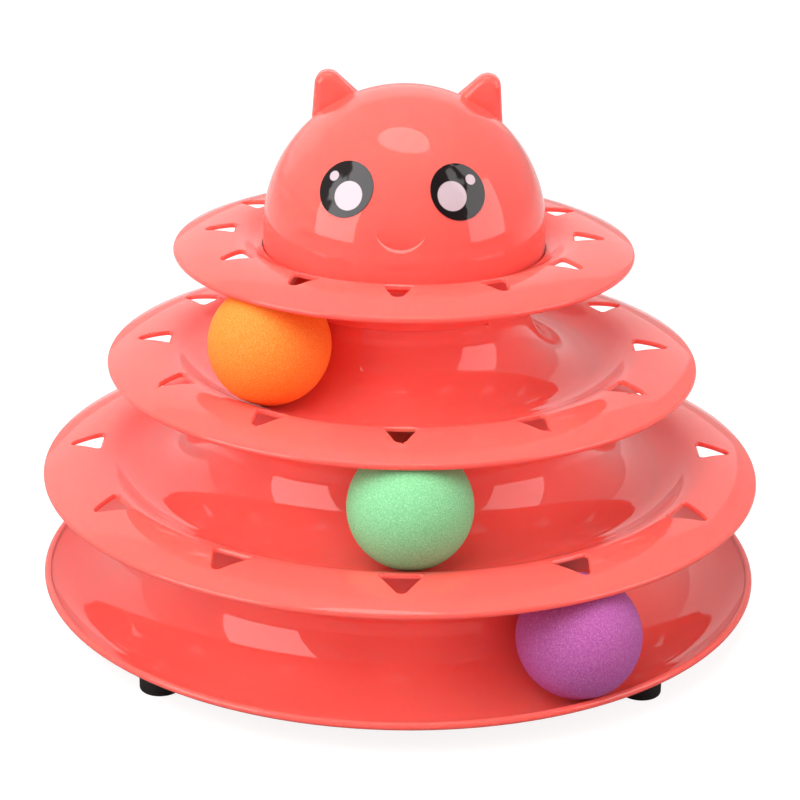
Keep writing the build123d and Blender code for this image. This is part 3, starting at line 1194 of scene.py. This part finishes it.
def column_lower(column: float, top: float, floor: float, trough: float) -> list[Run]:
    """Draws the lower skin of a shell from the trough back to the landing.

    Args:
        column: Outside radius of the column.
        top: Height of the landing.
        floor: Height of the trough.
        trough: Radius of the trough's lowest circle.

    Returns:
        The stretches.
    """
    wall, sweep, inside, hollow = SHAPE.wall, SHAPE.sweep, column - SHAPE.wall, column - SHAPE.landing
    return [
        *lines((trough, floor - wall), (column + sweep, floor - wall)),
        arc((column + sweep, floor + sweep), sweep + wall, 270.0, 180.0),
        *lines((inside, floor + sweep), (inside, top - wall), (hollow, top - wall), (hollow, top)),
    ]


def rim_runs(rim: float, crest: float) -> list[Run]:
    """Draws the rounded and thickened edge of a brim.

    Args:
        rim: Radius of the brim.
        crest: Height of the crest.

    Returns:
        The stretches.
    """
    turn, round_off = SHAPE.brim_turn, SHAPE.rim_round
    along = np.array((math.cos(turn), -math.sin(turn)))
    out = np.array((math.sin(turn), math.cos(turn)))
    middle = np.array((rim - SHAPE.crest_inset, crest - SHAPE.brim_round))
    edge = middle + out * SHAPE.brim_round
    upper = edge - along * round_off - out * round_off
    lower = edge - along * round_off - out * (SHAPE.rim_depth - round_off)
    foot = edge - along * SHAPE.rim_width - out * SHAPE.rim_depth
    root = middle - along * SHAPE.rim_width + out * SHAPE.bead_reach
    lean = math.degrees(turn)
    return [
        arc(tuple(upper), round_off, 90.0 - lean, -lean, EDGE_STEP),
        *lines(upper + along * round_off, lower + along * round_off),
        arc(tuple(lower), round_off, -lean, -90.0 - lean, EDGE_STEP),
        *lines(lower - out * round_off, foot, root),
    ]


@dataclass
class BaseTray:
    """The low dish with its rolled lip, column, keys and pegs for the feet, in millimetres and degrees."""

    tower: Tower
    flank_round: float = 21.6
    lip_round: float = 1.3
    lip_start: float = 150.0
    lip_end: float = -110.0
    lip_step: float = 10.0
    foot_circle: float = 110.5
    foot_count: int = 4
    foot_angle: float = 46.1
    peg_diameter: float = 6.0
    peg_height: float = 2.6
    peg_sides: int = 32

    def build(self) -> Object:
        """Makes the tray.

        Returns:
            The finished object.
        """
        tower, wall = self.tower, SHAPE.wall
        column, trough = SHAPE.column_radius(tower.base_circle), tower.base_circle + SHAPE.trough_margin
        floor, top = tower.base_floor, tower.lower_crest - SHAPE.trough_depth - wall - tower.seat_gap
        lip, middle_round = tower.base_radius - self.lip_round, self.flank_round + wall / 2
        turn = math.asin((lip - trough) / middle_round)
        lean = math.degrees(turn)
        centre = (trough, floor + self.flank_round)
        lip_height = centre[1] - middle_round * math.cos(turn)
        piece = tower.moulding("base_tray", "base")
        piece.draw(
            *column_upper(column, top, floor, trough),
            arc(centre, self.flank_round, 270.0, 270.0 + lean),
            arc((lip, lip_height), self.lip_round, self.lip_start, self.lip_end, self.lip_step),
            arc(centre, self.flank_round + wall, 270.0 + lean, 270.0),
            *column_lower(column, top, floor, trough),
        )
        piece.add_keys(column, tower.lower_crest - SHAPE.skirt_drop)
        piece.add_round(self.peg(), self.foot_count, self.foot_angle)
        return piece.build()

    def peg(self) -> Sculpt:
        """Makes one of the pegs that the feet are pushed onto.

        Returns:
            The peg on the +X axis.
        """
        radius, count = self.peg_diameter / 2, self.peg_sides
        heights = (self.tower.base_floor - SHAPE.wall / 2, self.peg_height)
        turns = np.linspace(0.0, 2 * math.pi, count, endpoint=False)
        points = [
            (self.foot_circle + radius * math.cos(turn), radius * math.sin(turn), height)
            for height in heights
            for turn in turns
        ]
        sides = [(i, i + count, (i + 1) % count + count, (i + 1) % count) for i in range(count)]
        peg = Sculpt()
        peg.add(np.array(points), [*sides, tuple(range(2 * count - 1, count - 1, -1))])
        return peg


@dataclass
class Tier:
    """A ring with its holed brim, trough, column, keys and skirt, in millimetres."""

    tower: Tower
    node: str
    rim: float
    crest: float
    landing: float
    circle_below: float
    row: HoleRow

    def build(self) -> Object:
        """Makes the tier.

        Returns:
            The finished object.
        """
        circle = self.rim - SHAPE.ball_inset
        column, trough = SHAPE.column_radius(circle), circle + SHAPE.trough_margin
        floor = self.crest - SHAPE.trough_depth
        turn = 270.0 + math.degrees(SHAPE.flank_turn)
        centre = (trough, floor + SHAPE.trough_round)
        piece = self.tower.moulding(self.node, self.node)
        piece.draw(
            *column_upper(column, self.landing, floor, trough),
            arc(centre, SHAPE.trough_round, 270.0, turn),
            *rim_runs(self.rim, self.crest),
            arc(centre, SHAPE.trough_round + SHAPE.wall, turn, 270.0),
            *column_lower(column, self.landing, floor, trough),
        )
        piece.pierce(self.rim, self.crest, self.row)
        bottom = self.crest - SHAPE.skirt_drop
        piece.add_skirt(SHAPE.skirt_radius(self.circle_below), bottom, floor - SHAPE.wall / 2)
        piece.add_keys(column, bottom + self.tower.pitch)
        return piece.build()


@dataclass
class TopRing:
    """The ring with the socket and the spigot that hold the head, and its skirt, in millimetres."""

    tower: Tower
    row: HoleRow
    spigot_gap: float = 0.3
    spigot_wall: float = 2.4
    spigot_height: float = 5.0

    def build(self) -> Object:
        """Makes the ring.

        Returns:
            The finished object.
        """
        tower, wall = self.tower, SHAPE.wall
        rim, crest, seat = tower.top_rim, tower.top_crest, tower.seat_floor
        trough = rim - SHAPE.ball_inset + SHAPE.trough_margin
        socket = tower.head_radius + tower.socket_gap
        spigot = tower.head_radius - wall - self.spigot_gap
        spigot_inside, spigot_top = spigot - self.spigot_wall, seat + self.spigot_height
        shelf = SHAPE.column_radius(tower.middle_circle) - SHAPE.landing
        turn = 270.0 + math.degrees(SHAPE.flank_turn)
        above, below = SHAPE.trough_round, SHAPE.trough_round + wall
        centre = (trough, crest - SHAPE.trough_depth + above)
        entry = math.asin((socket - trough) / above)
        exit_turn = math.asin((socket + wall - trough) / below)
        piece = tower.moulding("top_ring", "top_ring")
        piece.draw(
            *lines((socket, seat), (socket, centre[1] - above * math.cos(entry))),
            arc(centre, above, 270.0 + math.degrees(entry), turn),
            *rim_runs(rim, crest),
            arc(centre, below, turn, 270.0 + math.degrees(exit_turn)),
            *lines(
                (socket + wall, centre[1] - below * math.cos(exit_turn)),
                (socket + wall, seat - wall),
                (shelf, seat - wall),
                (shelf, seat),
                (spigot_inside, seat),
                (spigot_inside, spigot_top),
                (spigot, spigot_top),
                (spigot, seat),
                (socket, seat),
            ),
        )
        piece.pierce(rim, crest, self.row)
        piece.add_skirt(SHAPE.skirt_radius(tower.middle_circle), crest - SHAPE.skirt_drop, seat - wall)
        return piece.build()


@dataclass
class Head:
    """The domed head: the construction's skin with exact normals on the dome, its flats and the smile.

    The smile's dish and the glint on its lip come from its normals. Shares are of the dome's radius and
    angles in degrees. The slacks in millimetres and the cosines say which corners lie on which surface.
    """

    tower: Tower
    mouth_share: float = 0.191
    mouth_elevation: float = 6.9
    mouth_dish: float = 20.0
    mouth_flare: float = 45.0
    lip_elevation: float = 51.0
    lip_share: float = 0.8
    lip_depth_mm: float = 1.5
    flat_offset_share: float = 0.484
    flat_depth_share: float = 0.0115
    sharp_edge: float = 32.0
    skin_slack: float = 0.03
    level_slack: float = 0.05
    cut_slack: float = 0.02
    dome_cosine: float = 0.985
    wall_cosine: float = 0.02
    cut_cosine: float = 0.999
    lip_cosine: float = 0.95

    def build(self) -> Object:
        """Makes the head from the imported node's faces.

        Returns:
            The finished object.
        """
        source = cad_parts["head_cap"].data
        mesh = bpy.data.meshes.new("head_shell")
        faces = [tuple(face.vertices) for face in source.polygons]
        mesh.from_pydata([tuple(vertex.co) for vertex in source.vertices], [], faces)
        weld(mesh)
        mesh.materials.append(self.tower.plastic)
        self.shade(mesh)
        obj = new_object("head_shell", mesh)
        hand_over(obj, "head", "head_cap")
        return obj

    def cuts(self) -> list[tuple[np.ndarray, float, float, float]]:
        """Lists the smile and the two flats in front of the ears.

        Returns:
            Normal of each cut, its distance from the dome's middle, and its lean at foot and top in radians.
        """
        radius, lift = self.tower.head_radius, math.radians(self.mouth_elevation)
        turn, offset = math.asin(self.mouth_share), self.flat_offset_share
        mouth = np.array([0.0, -math.cos(lift), math.sin(lift)])
        cuts = [(mouth, radius * math.cos(turn), -math.radians(self.mouth_dish), turn)]
        for side in (-offset, offset):
            flat = np.array([side, 0.0, math.sqrt(1.0 - offset ** 2)])
            cuts.append((flat, radius * (1.0 - self.flat_depth_share), 0.0, 0.0))
        spin = np.array(Matrix.Rotation(math.radians(self.tower.head_turn), 3, "Z"))
        return [(spin @ normal, *rest) for normal, *rest in cuts]

    @staticmethod
    def upward(normal: np.ndarray) -> np.ndarray:
        """Finds the steepest direction in a cut.

        Args:
            normal: Normal of the cut.

        Returns:
            The direction.
        """
        up = np.array([0.0, 0.0, 1.0]) - normal * normal[2]
        return up / np.linalg.norm(up)

    def shade(self, mesh: Mesh) -> None:
        """Sets exact normals on the dome, its straight skirt and the cuts.

        Args:
            mesh: The head's mesh.
        """
        normals = smooth_fallback(mesh, self.sharp_edge)
        places, owner = corner_table(mesh)
        flat = gather(mesh.polygons, "normal", 3)[owner]
        tower, slack = self.tower, self.skin_slack
        ray = places - np.array([0.0, 0.0, tower.head_centre])
        distance, across = np.linalg.norm(ray, axis=1), np.hypot(places[:, 0], places[:, 1])
        level = np.column_stack([places[:, :2], np.zeros(len(places))]) / np.maximum(across, 1e-9)[:, None]
        for radius, sign in ((tower.head_radius, 1.0), (tower.head_radius - SHAPE.wall, -1.0)):
            out = ray / distance[:, None] * sign
            dome = (np.abs(distance - radius) < slack) & (np.sum(out * flat, axis=1) > self.dome_cosine)
            dome &= ray[:, 2] >= -self.level_slack
            wall = (np.abs(across - radius) < slack) & (np.abs(flat[:, 2]) < self.wall_cosine)
            wall &= ray[:, 2] <= self.level_slack
            for chosen, exact in ((dome, out), (wall, level * sign)):
                whole = whole_faces(chosen, owner)
                normals[whole] = exact[whole]
        for normal, height, foot, top in self.cuts():
            cut = (np.abs(ray @ normal - height) < self.cut_slack) & (flat @ normal > self.cut_cosine)
            whole, up = whole_faces(cut, owner), self.upward(normal)
            rise = ray[whole] @ up
            lean = foot + (top - foot) * (rise - rise.min()) / np.ptp(rise)
            normals[whole] = np.outer(np.cos(lean), normal) + np.outer(np.sin(lean), up)
        whole = whole_faces(self.on_lip(ray, flat), owner)
        lift = math.radians(self.lip_elevation)
        rounded = normals[whole] * (1.0 - self.lip_share)
        rounded += np.array([0.0, -math.cos(lift), math.sin(lift)]) * self.lip_share
        normals[whole] = rounded / np.linalg.norm(rounded, axis=1)[:, None]
        mesh.normals_split_custom_set(normals.tolist())

    def on_lip(self, ray: np.ndarray, flat: np.ndarray) -> np.ndarray:
        """Finds the corners on the smile's flared lip, whose rounded edge catches the light from above.

        Args:
            ray: Corners from the dome's middle.
            flat: Normals of the corners' faces.

        Returns:
            Whether each corner is on the lip.
        """
        normal, height = self.cuts()[0][:2]
        radius = self.tower.head_radius * self.mouth_share
        depth = ray @ normal - height
        reach = np.linalg.norm(ray - np.outer(ray @ normal, normal) - self.upward(normal) * radius, axis=1)
        cone = np.abs(reach - radius - depth * math.tan(math.radians(self.mouth_flare))) < self.level_slack
        return cone & (flat @ normal < self.lip_cosine) & (np.abs(depth) < self.lip_depth_mm)


@dataclass
class EyeSticker:
    """A round printed film on the dome, in millimetres, degrees and shares of the dome's radius.

    Its shine is that of a film that lies flatter than the dome and leans a little across and up.
    """

    tower: Tower
    node: str
    finish: StickerFinish
    azimuth: float
    lean: Pair
    elevation: float = 28.8
    share: float = 0.392
    film: float = 0.25
    glue: float = 0.05
    flatness: float = 0.5
    rings: int = 24
    turns: int = 96
    sharp_edge: float = 40.0
    front_cosine: float = 0.9

    def build(self) -> Object:
        """Makes the film with flat print coordinates.

        Returns:
            The finished object.
        """
        azimuth, elevation = math.radians(self.azimuth + self.tower.head_turn), math.radians(self.elevation)
        level = math.cos(elevation)
        out = Vector((math.sin(azimuth) * level, -math.cos(azimuth) * level, math.sin(elevation)))
        across = Vector((0.0, 0.0, 1.0)).cross(out).normalized()
        up = out.cross(across)
        centre = Vector((0.0, 0.0, self.tower.head_centre))
        inner = self.tower.head_radius + self.glue
        reach = self.tower.head_radius * self.share / 2
        vertices, prints = [], []
        for radius in (inner + self.film, inner):
            for ring in range(self.rings + 1):
                distance = reach * ring / self.rings
                depth = math.sqrt(radius ** 2 - distance ** 2)
                for turn in range(self.turns if ring else 1):
                    angle = 2 * math.pi * turn / self.turns
                    x, y = distance * math.cos(angle), distance * math.sin(angle)
                    vertices.append(tuple((centre + across * x + up * y + out * depth) * MM))
                    prints.append((0.5 + x / reach / 2, 0.5 + y / reach / 2))
        mesh = bpy.data.meshes.new(self.node)
        mesh.from_pydata(vertices, [], self.faces())
        layer = mesh.uv_layers.new(name="sticker")
        for corner, loop in enumerate(mesh.loops):
            layer.data[corner].uv = prints[loop.vertex_index]
        mesh.materials.append(self.finish.material())
        normals = smooth_fallback(mesh, self.sharp_edge)
        sideways, upwards = (math.tan(math.radians(angle)) for angle in self.lean)
        face = np.array(out + across * sideways + up * upwards)
        front = normals @ np.array(out) > self.front_cosine
        normals[front] = normals[front] * (1.0 - self.flatness) + face * self.flatness
        mesh.normals_split_custom_set((normals / np.linalg.norm(normals, axis=1)[:, None]).tolist())
        obj = new_object(f"{self.node}_film", mesh)
        hand_over(obj, "head", self.node)
        return obj

    def faces(self) -> list[Face]:
        """Joins the rings of the front and the back and closes the film's edge.

        Returns:
            The faces.
        """
        turns, back, faces = self.turns, self.rings * self.turns + 1, []
        edge = back - turns
        for turn in range(turns):
            after = (turn + 1) % turns
            for ring in range(self.rings):
                low, high = 1 + (ring - 1) * turns, 1 + ring * turns
                start = (low + turn,) if ring else (0,)
                end = (low + after,) if ring else ()
                face = (*start, high + turn, high + after, *end)
                faces.append(face)
                faces.append(tuple(back + index for index in face[::-1]))
            faces.append((edge + turn, back + edge + turn, back + edge + after, edge + after))
        return faces


@dataclass
class FoamBall:
    """A foam ball in its track, in millimetres and degrees to the right of the front."""

    tower: Tower
    node: str
    finish: FoamFinish
    slot: Slot
    circle: float
    floor: float
    azimuth: float
    pit_depth: float = 0.12
    pits_per_metre: float = 900.0

    def build(self, tree: NodeTree) -> Object:
        """Makes the ball with its pitted skin.

        Args:
            tree: Tree that moulds a foam ball.

        Returns:
            The finished object.
        """
        azimuth = math.radians(self.azimuth)
        height = self.floor + self.tower.ball_lift + SHAPE.ball_radius
        middle = (self.circle * math.sin(azimuth) * MM, -self.circle * math.cos(azimuth) * MM, height * MM)
        obj = new_object(f"{self.node}_foam", bpy.data.meshes.new(self.node))
        values = {
            "Radius": SHAPE.ball_radius * MM,
            "Pit Depth": self.pit_depth * MM,
            "Pit Scale": self.pits_per_metre,
            "Middle": middle,
            "Material": self.finish.material(),
        }
        grow(obj, tree, values)
        hand_over(obj, self.node, self.node)
        return obj


@dataclass
class RubberFeet:
    """The construction's four feet, which keep their shape."""

    nodes: tuple[str, ...] = ("front_left_foot", "front_right_foot", "back_left_foot", "back_right_foot")

    def dress(self) -> None:
        """Gives the feet their material."""
        rubber = RUBBER.material()
        for name in self.nodes:
            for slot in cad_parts[name].material_slots:
                slot.material = rubber


class LampFace(Enum):
    """Outlines of a softbox."""

    RECTANGLE = "RECTANGLE"
    ELLIPSE = "ELLIPSE"


@dataclass(frozen=True)
class Softbox:
    """A lamp with a wide face that looks at a point, in metres and watts."""

    name: str
    place: Triple
    size: Pair
    power: float
    target: Triple
    face: LampFace = LampFace.RECTANGLE
    colour: str = "#FFFFFF"
    mirrored: bool = True

    def hang(self) -> None:
        """Puts the lamp into the scene."""
        data = bpy.data.lights.new(self.name, "AREA")
        data.shape = self.face.value
        data.size, data.size_y = self.size
        data.energy = self.power
        data.color = linear(self.colour)[:3]
        lamp = bpy.data.objects.new(self.name, data)
        lamp.location = self.place
        aim = Vector(self.target) - Vector(self.place)
        lamp.rotation_euler = aim.to_track_quat("-Z", "Y").to_euler()
        lamp.visible_glossy = self.mirrored
        bpy.context.scene.collection.objects.link(lamp)


SOFTBOXES = (
    Softbox("overhead softbox", (-0.02, -0.05, 1.18), (0.64, 0.44), 2.0, (0.0, 0.0, 0.15), LampFace.ELLIPSE),
    Softbox("left softbox", (-0.90, -0.58, 0.50), (0.74, 0.82), 6.4, (0.0, 0.0, 0.14)),
    Softbox("right softbox", (1.02, -0.38, 0.46), (0.70, 0.74), 3.8, (0.0, 0.0, 0.14)),
    Softbox("back softbox", (-0.35, 1.4, 0.72), (2.4, 0.9), 2.8, (0.0, 0.0, 0.14)),
    Softbox("overhead fill", (-0.35, -0.45, 1.15), (1.2, 0.9), 12.0, (0.0, 0.0, 0.1), mirrored=False),
    # Light that the shells throw at each other, which deepens the red of their shade.
    Softbox(
        "coral bounce", (0.45, -1.0, 0.25), (1.2, 0.5), 2.4, (0.0, 0.0, 0.06), colour=CORAL.colour,
        mirrored=False,
    ),
)


@dataclass
class Studio:
    """Camera, floor and white backdrop, in metres and degrees.

    The mirror values are how bright floor and backdrop show in a gloss: first in front, then behind.
    """

    camera_place: Triple = (0.0, -0.7154, 0.3472)
    pitch: float = 21.109
    roll: float = 1.0276
    yaw: float = -0.037
    lens_mm: float = 99.165
    sensor_mm: float = 36.0
    floor_reach: float = 3.0
    floor_grey: float = 0.28
    floor_white: float = 0.86
    floor_mirror: Pair = (0.0, 0.6)
    floor_fade: Pair = (-0.05, 0.3)
    room_grey: float = 0.9
    room_light: float = 0.48
    backdrop_mirror: Pair = (0.12, 0.52)
    backdrop_fade: Pair = (-0.85, -0.2)

    def build(self) -> None:
        """Sets up the whole studio."""
        self.place_camera()
        for softbox in SOFTBOXES:
            softbox.hang()
        self.add_floor()
        self.add_world()
        bpy.context.scene.view_settings.view_transform = "Standard"

    def place_camera(self) -> None:
        """Puts the camera where the photograph was taken from."""
        pitch, roll, yaw = (math.radians(angle) for angle in (self.pitch, self.roll, self.yaw))
        ahead = Vector((math.sin(yaw) * math.cos(pitch), math.cos(yaw) * math.cos(pitch), -math.sin(pitch)))
        right = ahead.cross(Vector((0.0, 0.0, 1.0))).normalized()
        up = right.cross(ahead)
        tilted = right * math.cos(roll) + up * math.sin(roll)
        upright = up * math.cos(roll) - right * math.sin(roll)
        data = bpy.data.cameras.new("photo camera")
        data.lens = self.lens_mm
        data.sensor_width = self.sensor_mm
        camera = bpy.data.objects.new("photo camera", data)
        turn = Matrix((tilted, upright, -ahead)).transposed()
        camera.matrix_world = Matrix.Translation(Vector(self.camera_place)) @ turn.to_4x4()
        bpy.context.scene.collection.objects.link(camera)
        bpy.context.scene.camera = camera

    def add_floor(self) -> None:
        """Adds the paper floor: white for the camera, and in a gloss bright behind the object alone."""
        reach = self.floor_reach
        corners = [(-reach, -reach, 0.0), (reach, -reach, 0.0), (reach, reach, 0.0), (-reach, reach, 0.0)]
        mesh = bpy.data.meshes.new("studio floor")
        mesh.from_pydata(corners, [], [(0, 1, 2, 3)])
        material, tree = new_material("White seamless paper")
        place = add_node(tree, "ShaderNodeTexCoord").outputs["Object"]
        axes = add_node(tree, "ShaderNodeSeparateXYZ", Vector=place)
        front, back = self.floor_mirror
        start, end = self.floor_fade
        behind = add_node(
            tree, "ShaderNodeMapRange", Value=axes.outputs["Y"],
            From_Min=start, From_Max=end, To_Min=front, To_Max=back,
        )
        rays = add_node(tree, "ShaderNodeLightPath").outputs
        strength = add_node(
            tree, "ShaderNodeMix", data_type="FLOAT", Factor_Float=rays["Is Camera Ray"],
            A_Float=behind.outputs["Result"], B_Float=self.floor_white,
        )
        glow = add_node(tree, "ShaderNodeEmission", Strength=strength.outputs["Result"])
        paper = add_node(tree, "ShaderNodeBsdfDiffuse", Color=(*[self.floor_grey] * 3, 1.0))
        both = add_node(tree, "ShaderNodeAddShader", paper.outputs["BSDF"], glow.outputs["Emission"])
        add_node(tree, "ShaderNodeOutputMaterial", Surface=both.outputs["Shader"])
        mesh.materials.append(material)
        new_object("studio floor", mesh)

    def add_world(self) -> None:
        """Adds the backdrop: white for the camera, dim to the front in a gloss, and soft room light."""
        world = bpy.data.worlds.new("studio world")
        bpy.context.scene.world = world
        world.use_nodes = True
        tree = world.node_tree
        tree.nodes.clear()
        place = add_node(tree, "ShaderNodeTexCoord").outputs["Generated"]
        axes = add_node(tree, "ShaderNodeSeparateXYZ", Vector=place)
        front, back = self.backdrop_mirror
        start, end = self.backdrop_fade
        depth = add_node(
            tree, "ShaderNodeMapRange", Value=axes.outputs["Y"],
            From_Min=start, From_Max=end, To_Min=front, To_Max=back,
        )
        paper, grey = (1.0, 1.0, 1.0, 1.0), (*[self.room_grey] * 3, 1.0)
        room = add_node(tree, "ShaderNodeBackground", Color=grey, Strength=self.room_light)
        mirror = add_node(tree, "ShaderNodeBackground", Color=paper, Strength=depth.outputs["Result"])
        white = add_node(tree, "ShaderNodeBackground", Color=paper, Strength=1.0)
        rays = add_node(tree, "ShaderNodeLightPath").outputs
        glossy = add_node(
            tree, "ShaderNodeMath", rays["Is Glossy Ray"], rays["Is Transmission Ray"], operation="MAXIMUM"
        )
        lit = add_node(
            tree, "ShaderNodeMixShader", glossy.outputs["Value"], room.outputs["Background"],
            mirror.outputs["Background"],
        )
        seen = add_node(
            tree, "ShaderNodeMixShader", rays["Is Camera Ray"], lit.outputs["Shader"],
            white.outputs["Background"],
        )
        add_node(tree, "ShaderNodeOutputWorld", Surface=seen.outputs["Shader"])


def main() -> None:
    logging.basicConfig(level=logging.INFO)
    tower = Tower(CORAL.material(), round_the_axis_tree())
    lower_rim, lower_crest, middle_crest = tower.tier_radius, tower.lower_crest, tower.middle_crest
    lower_floor, middle_floor = lower_crest - SHAPE.trough_depth, middle_crest - SHAPE.trough_depth
    lower_landing = middle_floor - SHAPE.wall - tower.seat_gap
    middle_landing = tower.seat_floor - SHAPE.wall - tower.seat_gap
    base_circle, lower_circle, middle_circle = tower.base_circle, tower.lower_circle, tower.middle_circle
    middle_rim = lower_rim - tower.ring_step
    pieces = (
        BaseTray(tower),
        Tier(tower, "lower_tier", lower_rim, lower_crest, lower_landing, base_circle, LOWER_HOLES),
        Tier(tower, "middle_tier", middle_rim, middle_crest, middle_landing, lower_circle, MIDDLE_HOLES),
        TopRing(tower, TOP_HOLES),
        Head(tower),
        EyeSticker(tower, "left_eye", LEFT_PRINT, azimuth=-25.5, lean=(-15.0, -5.0)),
        EyeSticker(tower, "right_eye", RIGHT_PRINT, azimuth=25.5, lean=(0.0, -15.0)),
    )
    for piece in pieces:
        LOG.info("%s built", piece.build().name)
    balls = (
        FoamBall(tower, "purple_ball", PURPLE_FOAM, Slot.PURPLE, base_circle, tower.base_floor, azimuth=31.0),
        FoamBall(tower, "green_ball", GREEN_FOAM, Slot.GREEN, lower_circle, lower_floor, azimuth=2.2),
        FoamBall(tower, "orange_ball", ORANGE_FOAM, Slot.ORANGE, middle_circle, middle_floor, azimuth=-41.0),
    )
    foam_tree = foam_ball_tree()
    for ball in balls:
        LOG.info("%s built", ball.build(foam_tree).name)
    RubberFeet().dress()
    LOG.info("feet dressed")
    Studio().build()
    LOG.info("studio built")


if __name__ == "__main__":
    main()
